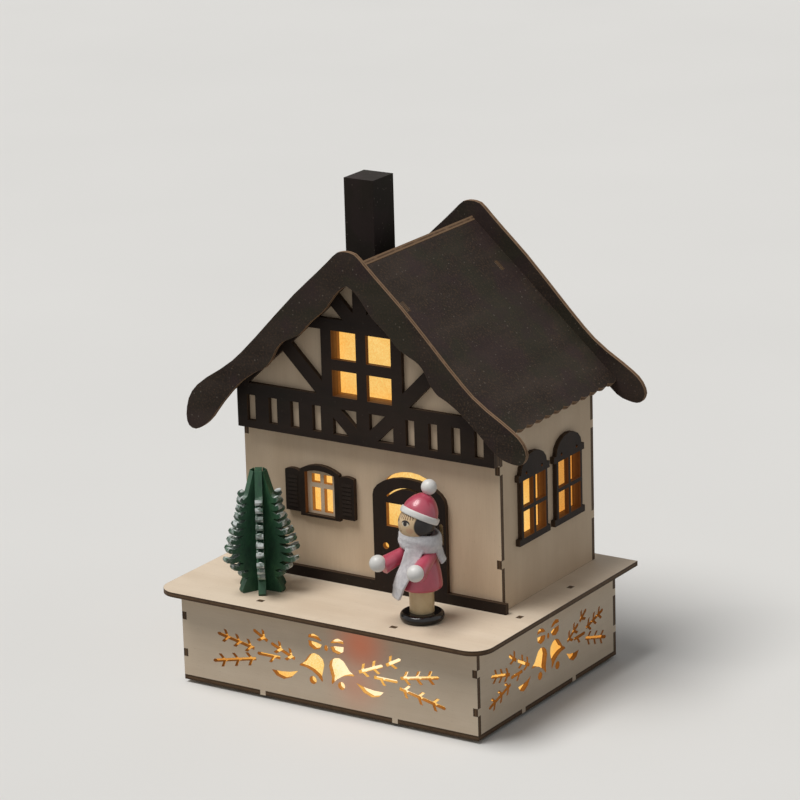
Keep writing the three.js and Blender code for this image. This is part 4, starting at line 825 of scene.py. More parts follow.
class NodeRecipe:
    """A Geometry Nodes tree with named inputs, which makes a plain mesh."""

    def __init__(self, name: str, **inputs: str) -> None:
        """Starts the tree.

        Args:
            name: The tree's name.
            inputs: Each input's name and kind, without the material.
        """
        self.tree = bpy.data.node_groups.new(name, "GeometryNodeTree")
        self.kit = NodeKit(self.tree)
        named = {"Geometry": "Geometry", **inputs, "Material": "Material"}
        self.keys = {key: self.socket(key, kind, "INPUT") for key, kind in named.items()}
        self.socket("Geometry", "Geometry", "OUTPUT")
        self.given = self.kit.add("NodeGroupInput").outputs

    def socket(self, key: str, kind: str, way: str) -> str:
        """Adds an input or an output and returns its identifier."""
        face = self.tree.interface
        return face.new_socket(key, in_out=way, socket_type=f"NodeSocket{kind}").identifier

    def put(self, points: Socket, shape: Socket, turn: Socket, **more: Socket) -> Socket:
        """Returns a shape on each of the points."""
        given = {"Points": points, "Instance": shape, "Rotation": turn, **more}
        return self.kit.made("GeometryNodeInstanceOnPoints", **given)

    def turn(self, angles: Socket) -> Socket:
        """Returns a turn by three angles."""
        return self.kit.made("FunctionNodeEulerToRotation", Euler=angles)

    def chance(self, low: Triple, high: Triple) -> Socket:
        """Returns three random numbers for each point."""
        draw = self.kit.add("FunctionNodeRandomValue", data_type="FLOAT_VECTOR", Seed=self.given["Seed"])
        return self.kit.pair(draw, low, high).outputs[0]

    def closed(self, geometry: Socket) -> Self:
        """Ends the tree with real geometry and its material, and returns the recipe."""
        real = self.kit.made("GeometryNodeRealizeInstances", Geometry=geometry)
        done = self.kit.made("GeometryNodeSetMaterial", Geometry=real, Material=self.given["Material"])
        self.kit.feed(self.kit.add("NodeGroupOutput").inputs[0], done)
        return self

    def run(self, name: str, base: Mesh | None = None, **values: object) -> Piece:
        """Makes one object with the tree.

        Args:
            name: The object's name.
            base: A mesh for the tree to start from.
            values: A value for each named input.

        Returns:
            The object, with a plain mesh.
        """
        piece = link(bpy.data.objects.new(name, base or bpy.data.meshes.new(name)))
        modifier = piece.modifiers.new(self.tree.name, "NODES")
        modifier.node_group = self.tree
        for key, value in values.items():
            modifier[self.keys[key]] = value
        return made_plain(piece)


def slat_recipe() -> NodeRecipe:
    """Returns the tree for a row of slats or ribs, one above or beside the other."""
    recipe = NodeRecipe(
        "row_of_slats", Count="Int", Start="Vector", Step="Vector", Size="Vector", Tilt="Vector",
    )
    kit, given = recipe.kit, recipe.given
    run = {"Count": given["Count"], "Start_Location": given["Start"], "Offset": given["Step"]}
    line = kit.made("GeometryNodeMeshLine", mode="OFFSET", **run)
    slat = kit.made("GeometryNodeMeshCube", Size=given["Size"])
    return recipe.closed(recipe.put(line, slat, recipe.turn(given["Tilt"])))


def plait_recipe(steps: int = 90, sides: int = 8, count: int = 3) -> NodeRecipe:
    """Returns the tree for strands that cross over one another."""
    recipe = NodeRecipe(
        "three_strand_plait", Length="Float", Spread="Float", Strand="Float", Turns="Float",
        Place="Vector", Turn="Vector",
    )
    kit, given = recipe.kit, recipe.given
    ring = kit.made("GeometryNodeCurvePrimitiveCircle", Resolution=sides, Radius=given["Strand"])
    strands = kit.add("GeometryNodeJoinGeometry")
    for part in range(count):
        end = kit.combine(0.0, 0.0, given["Length"])
        line = kit.made("GeometryNodeCurvePrimitiveLine", Start=(0, 0, 0), End=end)
        fine = kit.made("GeometryNodeResampleCurve", Curve=line, Count=steps)
        share = kit.made("GeometryNodeSplineParameter")
        angle = kit.scaled(kit.times(share, given["Turns"]), 2 * pi, 2 * pi * part / count)
        across = kit.times(kit.sine(angle), given["Spread"])
        over = kit.times(kit.sine(kit.times(angle, 2.0)), kit.times(given["Spread"], 0.5))
        moved = kit.made("GeometryNodeSetPosition", Geometry=fine, Offset=kit.combine(across, over, 0.0))
        tube = kit.made("GeometryNodeCurveToMesh", Curve=moved, Profile_Curve=ring, Fill_Caps=True)
        kit.feed(strands.inputs[0], tube)
    place = {"Translation": given["Place"], "Rotation": recipe.turn(given["Turn"])}
    return recipe.closed(kit.made("GeometryNodeTransform", Geometry=strands.outputs[0], **place))


def fuzz_recipe(lean: float = 1.1) -> NodeRecipe:
    """Returns the tree for short fibres that stand on a felt's surface."""
    recipe = NodeRecipe("felt_fuzz", Density="Float", Fibre="Float", Width="Float", Seed="Int")
    kit, given = recipe.kit, recipe.given
    felt = {"Mesh": given["Geometry"], "Density": given["Density"], "Seed": given["Seed"]}
    spread = kit.add("GeometryNodeDistributePointsOnFaces", **felt).outputs
    form = {"Vertices": 3, "Radius_Bottom": given["Width"], "Depth": given["Fibre"]}
    fibre = kit.made("GeometryNodeMeshCone", fill_type="NONE", **form)
    way = kit.vector("ADD", spread["Normal"], recipe.chance((-lean,) * 3, (lean,) * 3))
    stand = kit.made("FunctionNodeAlignRotationToVector", axis="Z", Vector=way)
    return recipe.closed(recipe.put(spread[0], fibre, stand))


def snow_recipe() -> NodeRecipe:
    """Returns the tree for lumpy dabs of paint, one on each point."""
    recipe = NodeRecipe("snow_dabs", Size="Vector", Lean="Float", Lumps="Float", Seed="Int")
    kit, given = recipe.kit, recipe.given
    shape = kit.made("GeometryNodeMeshIcoSphere", Radius=1.0, Subdivisions=3)
    bearing = kit.made("GeometryNodeInputNamedAttribute", data_type="FLOAT", Name="bearing")
    turn = recipe.turn(kit.combine(0.0, given["Lean"], bearing))
    size = kit.vector("MULTIPLY", given["Size"], recipe.chance((0.15, 0.6, 0.3), (1.2, 1.05, 1.25)))
    dabs = recipe.put(given["Geometry"], shape, turn, Scale=size)
    real = kit.made("GeometryNodeRealizeInstances", Geometry=dabs)
    lump = kit.less(kit.noise(kit.made("GeometryNodeInputPosition"), 420.0), 0.5)
    push = kit.add("ShaderNodeVectorMath", operation="SCALE", Scale=kit.times(lump, given["Lumps"]))
    kit.feed(push.inputs[0], kit.made("GeometryNodeInputNormal"))
    return recipe.closed(kit.made("GeometryNodeSetPosition", Geometry=real, Offset=push.outputs[0]))


@dataclass
class PlywoodHouse:
    """The boards: base, walls, roof, bargeboards and everything glued on them."""

    pitch: float = 42.0
    ridge: float = 257.49
    seed_step: float = 3.7
    # Lamps close behind the base front, whose light is painted on the panel as a red glow.
    lamp_glow_spots: tuple[Spot, ...] = (Spot((24, -81, 46), 31, 0.95), Spot((20, -81, 22), 30, 0.5))
    boards: tuple[tuple[Tones, Lay, tuple[str, ...]], ...] = (
        (BIRCH, Lay.FLAT, ("base_bottom_board", "deck")),
        (PANEL, Lay.FRONT_LEVEL, ("base_front_panel", "base_back_panel")),
        (PANEL, Lay.SIDE_LEVEL, ("base_left_panel", "base_right_panel")),
        (WALL_WARM_SHADE, Lay.FRONT_UPRIGHT, ("house_front_wall", "house_back_wall")),
        (WALL_WARM_SHADE, Lay.SIDE_UPRIGHT, ("house_left_wall", "house_right_wall")),
        (WALL_WARM_SHADE, Lay.FRONT_UPRIGHT, ("gable_board",)),
        (STAIN, Lay.FRONT_LEVEL, ("front_bargeboard", "rear_bargeboard")),
        (TRIM, Lay.FRONT_LEVEL, ("gable_timber_overlay", "front_window_frame")),
        (TRIM, Lay.FRONT_UPRIGHT, ("shutter_left", "shutter_right", "door_board")),
        (TRIM, Lay.FRONT_LEVEL, ("skirting_left", "skirting_right")),
        (TRIM, Lay.SIDE_UPRIGHT, ("left_window_frame_front", "left_window_frame_back")),
        (TRIM, Lay.SIDE_UPRIGHT, ("right_window_frame_front", "right_window_frame_back")),
    )
    lit: tuple[tuple[str, LitCuts], ...] = (
        ("base_front_panel", LitCuts((-96, -90, 9), (96, -70, 55), BASE_GLOW, 0.4)),
        ("base_left_panel", LitCuts((-110, -74, 9), (-95, 71, 55), BASE_GLOW, 0.3)),
        ("base_right_panel", LitCuts((95, -74, 9), (110, 71, 55), BASE_GLOW, 0.3)),
        ("house_front_wall", LitCuts((-62, -36, 70), (62, -20, 136), HOUSE_GLOW, 0.36)),
        ("house_front_wall", LitCuts((-25, -36, 178), (25, -20, 224), HOUSE_GLOW, 0.22)),
        ("house_left_wall", LitCuts((-95, -16, 90), (-80, 66, 148), HOUSE_GLOW, 0.07)),
        ("house_right_wall", LitCuts((80, -16, 90), (95, 66, 148), HOUSE_GLOW, 0.07)),
        ("gable_board", LitCuts((-25, -36, 178), (25, -28, 224), HOUSE_GLOW, 0.06)),
        ("gable_timber_overlay", LitCuts((-25, -36, 178), (25, -26, 224), HOUSE_GLOW, 0.03)),
        ("front_window_frame", LitCuts((-46.6, -36, 101.8), (-22.2, -26, 128), HOUSE_GLOW, 0.04)),
        ("door_board", LitCuts((8, -36, 68), (49, -26, 126), HOUSE_GLOW, 0.24)),
        *((f"{side}_window_frame_{end}", LitCuts(
            (sign * 91 - 4, mid - 13, 99), (sign * 91 + 4, mid + 13, 139.5), HOUSE_GLOW, 0.04,
        )) for side, sign in SIDES for end, mid in (("front", 4.4), ("back", 44.6))),
    )

    def dress_all(self) -> None:
        """Gives every board its wood, each with its own run of grain."""
        seed = 0.0
        for tones, lay, nodes in self.boards:
            for node in nodes:
                seed += self.seed_step
                self.dress_board(node, lay, tones, seed)
        slope = radians(self.pitch)
        low = self.ridge * MM * cos(slope)
        for side, sign in SIDES:
            node, facing = f"roof_{side}_panel", (sign * sin(slope), 0.0, cos(slope))
            dress(SheetWood(f"{node}_wood", STAIN, facing, (0, 1, 0), low, seed + sign).make(), node)
        block = SheetWood("chimney_wood", CHIMNEY_SHADED_STAIN, (0.8, 0.6, 0.0), (0, 0, 1), 0.0, seed + 5, plies=False)
        dress(block.make(), "chimney_block")

    def dress_board(self, node: str, lay: Lay, tones: Tones, seed: float) -> None:
        """Gives one board its wood."""
        facing, grain = lay.value
        wood = SheetWood(
            f"{node}_wood", tones, facing, grain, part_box(node)[0].dot(Vector(facing)), seed,
            lit=[cuts for name, cuts in self.lit if name == node],
            show_through=self.lamp_glow_spots if node == "base_front_panel" else (),
        )
        dress(wood.make(), node)


@dataclass
class Shutters:
    """Louvres on the two shutter leaves."""

    margin: float = 2.0
    foot: float = 2.6
    count: int = 8
    pitch: float = 2.55
    slat: float = 1.7
    proud: float = 0.55
    lean: float = 12.0

    def build(self, recipe: NodeRecipe) -> None:
        """Makes the louvres of both leaves."""
        for side, _ in SIDES:
            low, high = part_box(f"shutter_{side}")
            start = Vector(((low.x + high.x) / 2, low.y, low.z + (self.foot + self.slat / 2) * MM))
            piece = recipe.run(
                f"shutter_{side}_louvres", Count=self.count, Start=start, Step=(0, 0, self.pitch * MM),
                Size=(high.x - low.x - 2 * self.margin * MM, self.proud * MM, self.slat * MM),
                Tilt=(radians(-self.lean), 0, 0), Material=worn_by("shutter_left"),
            )
            carried(piece, Body.HOUSE, "stained_ply")


@dataclass
class LightParts:
    """Glowing liners, lamps, battery case and its fittings."""

    rib_pitch: float = 1.6
    rib: float = 0.7
    rib_proud: float = 0.8
    cells: tuple[str, ...] = ("battery_cell_1", "battery_cell_2")
    cell_end: float = 1.1
    cell_rim: float = 0.8
    cell_nub: float = 2.7
    cell_soft: float = 0.3
    cell_sides: int = 48

    def dress_all(self) -> None:
        """Gives the light parts their finishes."""
        for finish, nodes in (
            (GlowPaper("house_glow_paper", HOUSE_GLOW), ("house_liner",)),
            (GlowPaper("base_glow_paper", BASE_GLOW), ("base_liner",)),
            (BLACK_PLASTIC, ("battery_case", "battery_cover", "switch_slider")),
            (CONTACT_STEEL, ("contact_spring_strip", "contact_plate_strip")),
            (CIRCUIT, ("house_light_board", "base_light_board")),
            (LAMP_LENS, ("house_lamp_1", "base_lamp_1", "base_lamp_2")),
            (LEAD_SHEATH, ("supply_lead", "link_lead")),
        ):
            dress(finish.make(), *nodes)

    def build_cells(self) -> None:
        """Makes the round cells, each with a sleeve and bare steel ends."""
        finishes = CELL_SLEEVE.make(), CONTACT_STEEL.make()
        rim, nub, soft, sides = self.cell_rim, self.cell_nub, self.cell_soft, self.cell_sides
        for name in self.cells:
            low, high = (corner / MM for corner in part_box(name))
            middle = (low + high) / 2
            radius, top = (high.y - low.y) / 2, high.x - low.x
            end, inner = top - self.cell_end, radius - rim / 4
            sleeve = [(inner, rim / 4), (radius, rim), (radius, end - rim), (inner, end - rim / 4)]
            cap = [(radius - rim, end), (nub, end), (nub, top - soft), (nub - soft, top), (0, top)]
            profile = [(0, 0), (radius - rim, 0), *sleeve, *cap]
            lie = Matrix.Translation((low.x, middle.y, middle.z)) @ turn_about("Y", 90)
            maker = MeshMaker().turned(profile, lie, sides=sides)
            bare = (0, *range(len(sleeve) + 2, len(profile) - 1))
            maker.finishes = [int(row in bare) for row in range(len(profile) - 1) for _ in range(sides)]
            maker.stand_for(name, "cell_jacket", *finishes)

    def build_ribs(self, recipe: NodeRecipe) -> None:
        """Makes the finger ribs on the battery cover and on the slide switch."""
        for node, body, share, height, count in (
            ("battery_cover", Body.COVER, 0.86, 0.42, 5), ("switch_slider", Body.SWITCH, 0.5, 0.86, 3),
        ):
            low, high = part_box(node)
            first = low.x + (high.x - low.x) * share - self.rib_pitch * MM * (count - 1) / 2
            piece = recipe.run(
                f"{node}_ribs", Count=count, Start=(first, high.y, (low.z + high.z) / 2),
                Step=(self.rib_pitch * MM, 0, 0), Tilt=(0, 0, 0), Material=worn_by("battery_cover"),
                Size=(self.rib * MM, self.rib_proud * MM, (high.z - low.z) * height),
            )
            carried(piece, body, "black_plastic")


@dataclass
class FeltFeet:
    """Four pressed felt pads under the base."""

    edge: float = 0.5
    top_rim: Line = ((0, 1), (0.3, 0.3), (1, 0))
    names: tuple[str, ...] = ("foot_front_left", "foot_front_right", "foot_back_left", "foot_back_right")

    def build(self) -> None:
        """Makes the pads with softened rims."""
        material, soft = PAD_FELT.make(), self.edge
        for name in self.names:
            low, high = (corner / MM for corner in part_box(name))
            radius, height = (high.x - low.x) / 2, high.z
            low_rim = [(1 - sin(a), 1 - cos(a)) for a in (0, pi / 6, pi / 3, pi / 2)]
            profile = [(radius - soft * inset, soft * rise) for inset, rise in low_rim]
            profile += [(radius - soft * inset, height - soft * drop) for inset, drop in self.top_rim]
            place = Matrix.Translation(((low.x + high.x) / 2, (low.y + high.y) / 2, 0))
            maker = MeshMaker().turned([(0, 0), *profile, (0, height)], place, sides=SMALL_ROUND)
            pad = maker.stand_for(name, "felt_pad", material, form="pad")


@dataclass
class FirTree:
    """The tree of three lapped planks, with thick snow on its branch ends."""

    paint: FirPaint = FirPaint("fir_paint", (-58.2, -60.3), 61.0, 74.0, 26.0, (
        (14.8, 0.0), (15.5, 12.0), (25.0, 22.4), (21.6, 33.4), (17.4, 43.0), (14.2, 57.8), (7.0, 66.0),
        (4.6, 74.0),
    ))
    turn: float = 3.0
    planks: int = 3
    tips: Line = (
        (15.5, 12.0), (20.5, 17.0), (25.0, 22.4), (23.2, 28.0), (21.6, 33.4), (19.4, 38.4), (17.4, 43.0),
        (16.0, 48.0), (15.0, 53.0), (14.2, 57.8),
    )
    dab: Triple = (2.7, 2.15, 0.8)
    lean: float = -20.0
    lumps: float = 0.7
    seed: int = 7
    back: float = 2.3
    lift: float = 0.9

    def build(self) -> None:
        """Paints the planks and lays the snow."""
        dress(self.paint.make(), *(f"tree_plank_{i + 1}" for i in range(self.planks)))
        snow = snow_recipe().run(
            "tree_snow", self.branch_ends(), Size=Vector(self.dab) * MM, Lean=radians(self.lean),
            Lumps=self.lumps * MM, Seed=self.seed, Material=SNOW.make(),
        )
        snow.data.shade_smooth()
        carried(snow, Body.HOUSE, "fir_paint")

    def branch_ends(self) -> Mesh:
        """Returns a point on each branch end, with the bearing of its plank."""
        axis = Vector((*self.paint.axis, self.paint.foot))
        points, turns = [], []
        for bearing in (radians(self.turn + 180 * i / self.planks) for i in range(2 * self.planks)):
            for reach, height in self.tips:
                out = reach - self.back
                at = Vector((out * cos(bearing), out * sin(bearing), height + self.lift))
                points.append((axis + at) * MM)
                turns.append(bearing)
        mesh = bpy.data.meshes.new("branch_ends")
        mesh.from_pydata(points, [], [])
        mesh.attributes.new("bearing", "FLOAT", "POINT").data.foreach_set("value", turns)
        return mesh


@dataclass
class TurnedFigure:
    """The turned wooden figure, with heights above the deck."""

    place: Triple = (54.2, -60.5, 61.0)
    turn: float = -9.0
    head_turn: float = -21.0
    disc: Point = (13.1, 5.4)
    leg: float = 7.3
    hem: float = 20.0
    hem_inset: float = 0.6
    coat: Line = (
        (12.1, 20.5), (12.4, 22.6), (11.5, 30.0), (9.5, 38.0), (7.0, 44.0), (5.5, 47.0),
    )
    coat_top: float = 50.4
    shoulder: Triple = (7.5, 0.0, 41.0)
    hand: Triple = (14.4, -21.0, 37.0)
    hand_radius: float = 5.0
    cuff_drop: float = 3.0
    cuff_back: float = 3.0
    sleeve: Point = (4.0, 5.2)
    cuff: Line = ((0.1, 1.4), (0.0, 0.6), (0.5, 0.0))
    head: float = 10.8
    head_forward: float = 2.6
    cap_tilt: float = 23.0
    brim_tilt: float = 27.0
    lining: Point = (0.15, 0.1)
    brim: Line = ((10.9, 3.0), (11.5, 3.1), (11.8, 4.0), (11.8, 5.6), (11.5, 6.5), (10.6, 6.8))
    crown: Line = (
        (10.7, 4.2), (10.5, 7.0), (9.9, 9.6), (8.7, 12.0), (6.7, 14.6), (4.2, 16.7), (2.0, 17.7), (0.0, 17.9),
    )
    pompom: Point = (4.6, 21.8)

    @property
    def stand(self) -> Matrix:
        """Returns where the figure stands."""
        return Matrix.Translation(self.place) @ turn_about("Z", self.turn)

    @property
    def head_mid(self) -> float:
        """Returns the height of the middle of the head."""
        return self.coat_top + sqrt(self.head ** 2 - self.coat[-1][0] ** 2)

    @property
    def head_place(self) -> Matrix:
        """Returns the frame at the middle of the head."""
        shift = Matrix.Translation((0, -self.head_forward, self.head_mid))
        return self.stand @ shift @ turn_about("Z", self.head_turn)

    def build(self) -> None:
        """Makes the turned pieces."""
        pink, white = PINK.make(), WHITE.make()
        self.build_stand(pink)
        for name, side in (("figure_arm_right", -1), ("figure_arm_left", 1)):
            self.build_arm(name, side, pink, white)
        self.build_head()
        self.build_cap(pink, white)

    def build_stand(self, pink: Material) -> None:
        """Makes the disc, legs and coat."""
        (radius, height), leg, hem, top = self.disc, self.leg, self.hem, self.coat_top
        half = height / 2
        rim = [(radius - half + r, half + z) for r, z in ball(half, -half, half, 14)]
        coat = [(self.coat[0][0] - self.hem_inset, hem), *eased(self.coat), (self.coat[-1][0], top)]
        for name, profile, material, slot in (
            ("figure_disc", [(0, 0), *rim, (0, height)], BLACK.make(), "black_lacquer"),
            ("figure_legs", [(0, height), (leg, height), (leg, hem), (0, hem)], CREAM.make(), "cream_paint"),
            ("figure_coat", [(0, hem), *coat, (0, top)], pink, "pink_lacquer"),
        ):
            MeshMaker().turned(profile, self.stand).stand_for(name, slot, material)

    def build_arm(self, name: str, side: int, *materials: Material) -> None:
        """Makes a sleeve and its ball hand.

        Args:
            name: The arm's solid.
            side: Which side it is on, -1 or 1.
            materials: The sleeve's and the hand's finish.
        """
        start, hand = (Vector((side * at[0], *at[1:])) for at in (self.shoulder, self.hand))
        reach = hand - Vector((0, 0, self.cuff_drop)) - start
        end, size = reach.length - self.cuff_back, self.hand_radius
        near, far = self.sleeve
        aim = Vector((0, 0, 1)).rotation_difference(reach).to_matrix().to_4x4()
        sleeve = [*ball(near, -near, 0, 8), *((far - r, end - z) for r, z in self.cuff), (0, end)]
        maker = MeshMaker().turned(sleeve, self.stand @ Matrix.Translation(start) @ aim, 0, SMALL_ROUND)
        maker.turned(ball(size, -size, size), self.stand @ Matrix.Translation(hand), 1, SMALL_ROUND)
        maker.stand_for(name, "pink_lacquer", *materials)

    def build_head(self) -> None:
        """Makes the head and paints its face."""
        low = self.coat_top - self.head_mid
        paint = FacePaint(
            "painted_head", (0.72, 0.55, 0.345), (0.65, 0.475, 0.28), 0.38, 60, 0.02, coat=0.1, specular=0.35,
            centre=tuple(self.head_place.translation), turn=self.turn + self.head_turn,
        )
        maker = MeshMaker().turned([(0, low), *ball(self.head, low, self.head, 30)], self.head_place)
        maker.stand_for("figure_head", "skin_paint", paint.make())

    def build_cap(self, pink: Material, white: Material) -> None:
        """Makes the cap with its brim, and the pompom."""
        leans = (self.cap_tilt, self.brim_tilt)
        tilt, brim_tilt = (self.head_place @ turn_about("X", -lean) for lean in leans)
        loose, top = (self.head + gap for gap in self.lining)
        lining = ball(loose, self.brim[0][1], top, 10)[::-1]
        brim = [(0, lining[0][1]), *lining[1:], *eased(self.brim, 4), (0, self.brim[-1][1])]
        maker = MeshMaker().turned(brim, brim_tilt, 1)
        maker.turned([(0, self.crown[0][1]), *eased(self.crown)], tilt)
        maker.stand_for("figure_cap", "pink_lacquer", pink, white, crease=60)
        radius, height = self.pompom
        at = tilt @ Matrix.Translation((0, 0, height))
        bobble = MeshMaker().turned(ball(radius, -radius, radius), at, sides=SMALL_ROUND)
        bobble.stand_for("figure_pompom", "white_lacquer", white)


@dataclass(frozen=True)
class ScarfEnd:
    """A hanging end of the scarf: bearing and height at its start and stop, and how far out it hangs."""

    start: Point
    stop: Point
    hang: Point
    flare: float
    rows: int


@dataclass
class Scarf:
    """A strip of felt wound round the neck, with one long end in front and a short one behind."""

    figure: TurnedFigure
    low: float = 45.6
    high: float = 55.0
    width: float = 10.4
    length: float = 122.0
    thickness: float = 1.4
    columns: int = 14
    rows: int = 120
    front: ScarfEnd = ScarfEnd((30.0, 49.0), (-30.0, 15.4), (8.6, 12.4), 1.4, 46)
    back: ScarfEnd = ScarfEnd((118.0, 46.0), (123.0, 36.0), (8.4, 9.6), 1.6, 18)
    ring: Line = ((9.4, 0.0), (10.6, 0.12), (11.2, 0.38), (11.1, 0.66), (10.7, 0.9), (9.9, 1.0))
    drop: float = 2.6
    drop_bearing: float = 130.0
    off_coat: float = 1.9
    folds: Point = (0.22, 0.12)
    sway: float = 0.3
    ripple: float = 0.28
    curl: float = 0.35
    fibre: Point = (0.8, 0.035)
    fuzz_density: float = 1.6e6
    fuzz_seed: int = 4

    def build(self) -> None:
        maker = MeshMaker()
        maker.sheet(self.rows, self.columns, self.on_ring, loop=True)
        for end in (self.front, self.back):
            maker.sheet(end.rows, self.columns, lambda t, u, end=end: self.on_end(end, t, u))
        material = SCARF_FELT.make()
        felt = maker.build("figure_scarf_felt", [material], 180)
        thick = felt.modifiers.new("felt", "SOLIDIFY")
        thick.thickness, thick.offset = self.thickness * MM, -1.0
        carried(made_plain(felt), Body.HOUSE, "scarf_felt", "figure_scarf")
        fibre, width = metres(self.fibre)
        fuzz = fuzz_recipe().run(
            "figure_scarf_fuzz", felt.data.copy(), Density=self.fuzz_density, Fibre=fibre, Width=width,
            Seed=self.fuzz_seed, Material=material,
        )
        carried(fuzz, Body.HOUSE, "scarf_felt")

    def at(self, radius: float, bearing: float, height: float) -> Vector:
        """Returns the point at a bearing from the figure's front, in radians."""
        return self.figure.stand @ Vector((radius * sin(bearing), -radius * cos(bearing), height))

    def on_ring(self, t: float, u: float) -> Vector:
        """Returns a point of the turn round the neck, for its bearing and its height."""
        bearing = 2 * pi * t
        long, short = self.folds
        fold = long * sin(2 * pi * (1.6 * u) + 2 * bearing) + short * sin(5 * bearing + 3 * u)
        sag = self.drop * (0.5 + 0.5 * cos(bearing - radians(self.drop_bearing)))
        height = self.low + (self.high - self.low) * u + self.sway * sin(2 * bearing + 0.8) - sag
        return self.at(read_off(self.ring, u) + fold * sin(pi * u), bearing, height)

    def on_end(self, end: ScarfEnd, t: float, u: float) -> Vector:
        """Returns a point of a hanging end, for its length and its width."""
        bearing, height = (a + (b - a) * t for a, b in zip(end.start, end.stop))
        hang = end.hang[0] + (end.hang[1] - end.hang[0]) * t
        radius = max(read_off(self.figure.coat, height), hang) + self.off_coat + end.flare * t
        radius += self.ripple * sin(9 * t + 5 * u) * sin(pi * min(1.0, 1.6 * t + 0.1))
        turn = radians(bearing) + (u - 0.5) * self.width / radius
        return self.at(radius, turn, height + self.curl * sin(pi * u) * t)


@dataclass
class Plait:
    """The yarn plait that hangs behind the head."""

    figure: TurnedFigure
    out: float = 13.7
    low: float = 43.0
    length: float = 12.0
    spread: float = 1.0
    strand: float = 0.46
    turns: float = 3.0

    def build(self) -> None:
        """Makes the three strands."""
        figure = self.figure
        foot = figure.stand @ turn_about("Z", figure.head_turn) @ Vector((0, self.out, self.low))
        piece = plait_recipe().run(
            "figure_braid_plait", Length=self.length * MM, Spread=self.spread * MM, Strand=self.strand * MM,
            Turns=self.turns, Place=foot * MM, Turn=(0, 0, radians(figure.turn + figure.head_turn)),
            Material=YARN.make(),
        )
        piece.data.shade_smooth()
        carried(piece, Body.HOUSE, "yarn", "figure_braid")


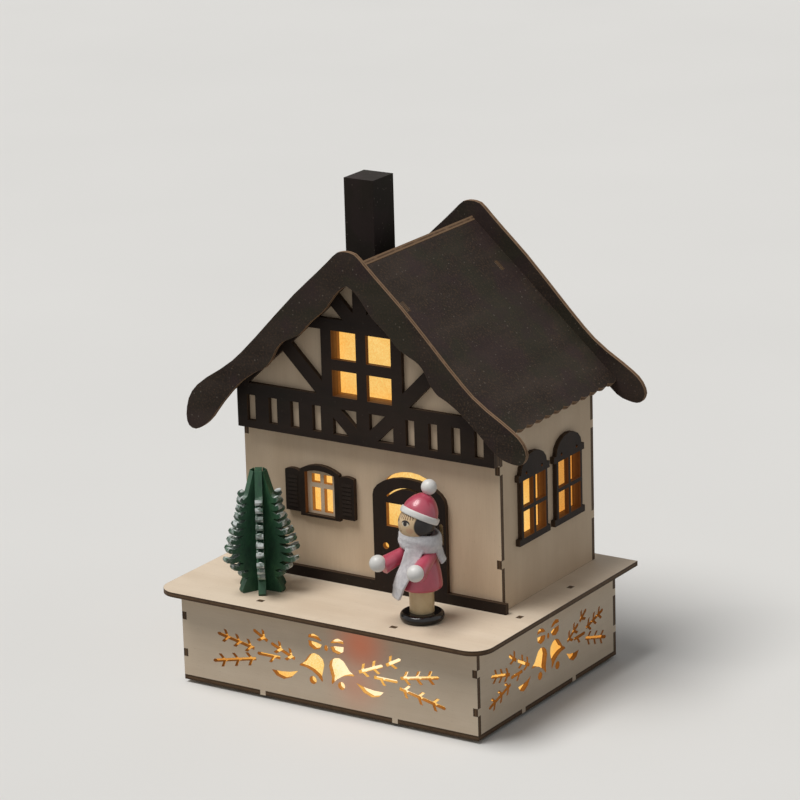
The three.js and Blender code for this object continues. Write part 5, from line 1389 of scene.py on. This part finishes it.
@dataclass
class Studio:
    """Camera, plain lights and a pale floor. Lamps and floor are in metres."""

    aim: Triple = (2.289, 1.8, 169.487)
    azimuth: float = 33.2341
    elevation: float = 16.8493
    roll: float = -1.6598
    distance: float = 2199.62
    lens: float = 167.489
    sensor: float = 36.0
    floor_half: float = 12.0
    floor_tone: Colour = (0.76, 0.76, 0.75)
    floor_shade: float = 0.97
    floor_bounce: Colour = (0.38, 0.38, 0.37)
    sky_tone: Colour = (0.86, 0.86, 0.86)
    sky_light: Colour = (0.22, 0.22, 0.22)
    key_from: Triple = (-0.24, -0.27, 1.0)
    key_level: float = 2.5
    key_spread: float = 32.0
    key_tone: Colour = (1.0, 0.98, 0.95)
    fill_from: Triple = (1.5, -1.6, 0.9)
    fill_level: float = 0.8
    fill_size: float = 1.4
    fill_tone: Colour = (1.0, 0.98, 0.96)
    lamp_aim: Triple = (0, 0, 0.13)

    def build(self) -> None:
        """Makes the camera, the floor and the light."""
        self.build_camera()
        self.build_floor()
        self.build_sky()
        key = bpy.data.lights.new("key_light", "SUN")
        key.energy, key.angle, key.color = self.key_level, radians(self.key_spread), self.key_tone
        self.hang(key, self.key_from)
        fill = bpy.data.lights.new("fill_light", "AREA")
        fill.energy, fill.size, fill.color = self.fill_level, self.fill_size, self.fill_tone
        self.hang(fill, self.fill_from)
        settings = bpy.context.scene.view_settings
        settings.view_transform = "Standard"

    def build_camera(self) -> None:
        """Sets the camera at the photograph's angle."""
        a, e, roll = (radians(x) for x in (self.azimuth, self.elevation, self.roll))
        back = Vector((sin(a) * cos(e), -cos(a) * cos(e), sin(e)))
        right = Vector((cos(a), sin(a), 0))
        up = back.cross(right)
        level = right * cos(roll) + up * sin(roll)
        upright = up * cos(roll) - right * sin(roll)
        data = bpy.data.cameras.new("camera")
        data.lens, data.sensor_width = self.lens, self.sensor
        camera = link(bpy.data.objects.new("camera", data))
        turn = Matrix((level, upright, back)).transposed().to_4x4()
        camera.matrix_world = Matrix.Translation((Vector(self.aim) + back * self.distance) * MM) @ turn
        bpy.context.scene.camera = camera

    def build_floor(self) -> None:
        """Lays the floor under the object."""
        half, tone = self.floor_half, self.floor_tone
        mesh = bpy.data.meshes.new("floor")
        corners = [(-half, -half, 0), (half, -half, 0), (half, half, 0), (-half, half, 0)]
        mesh.from_pydata(corners, [], [(0, 1, 2, 3)])
        kit, shade = PaintKit("floor_paint"), tuple(x * self.floor_shade for x in tone)
        pale = kit.ramp(kit.cloud(3.0), (0.3, shade), (0.7, tone))
        colour = kit.mix(self.seen(kit), self.floor_bounce, pale)
        mesh.materials.append(kit.coat(Base_Color=colour, Roughness=0.85, Specular_IOR_Level=0.1))
        link(bpy.data.objects.new("floor", mesh))

    def build_sky(self) -> None:
        """Sets even light all round, with a pale ground behind the object."""
        world = bpy.data.worlds.new("studio")
        bpy.context.scene.world = world
        world.use_nodes = True
        kit = NodeKit(world.node_tree)
        tone = kit.mix(self.seen(kit), self.sky_light, self.sky_tone)
        kit.fill(world.node_tree.nodes["Background"], Color=tone)

    def seen(self, kit: NodeKit) -> Socket:
        """Returns 1 where the camera sees the stage itself, or sees it mirrored or through a piece."""
        path = kit.add("ShaderNodeLightPath").outputs
        mirrored = kit.most(path["Is Glossy Ray"], path["Is Transmission Ray"])
        return kit.most(path["Is Camera Ray"], mirrored)

    def hang(self, data: bpy.types.Light, at: Triple) -> None:
        """Hangs one lamp at a place, facing the object."""
        lamp = link(bpy.data.objects.new(data.name, data))
        lamp.location = at
        lamp.rotation_mode = "QUATERNION"
        lamp.rotation_quaternion = (Vector(self.lamp_aim) - Vector(at)).to_track_quat("-Z", "Y")


def main() -> None:
    """Builds the pieces in order."""
    logging.basicConfig(level=logging.INFO, format="%(message)s")
    Studio().build()
    PlywoodHouse().dress_all()
    slats = slat_recipe()
    Shutters().build(slats)
    light = LightParts()
    light.dress_all()
    light.build_cells()
    light.build_ribs(slats)
    FeltFeet().build()
    FirTree().build()
    figure = TurnedFigure()
    figure.build()
    Scarf(figure).build()
    Plait(figure).build()


if __name__ == "__main__":
    main()
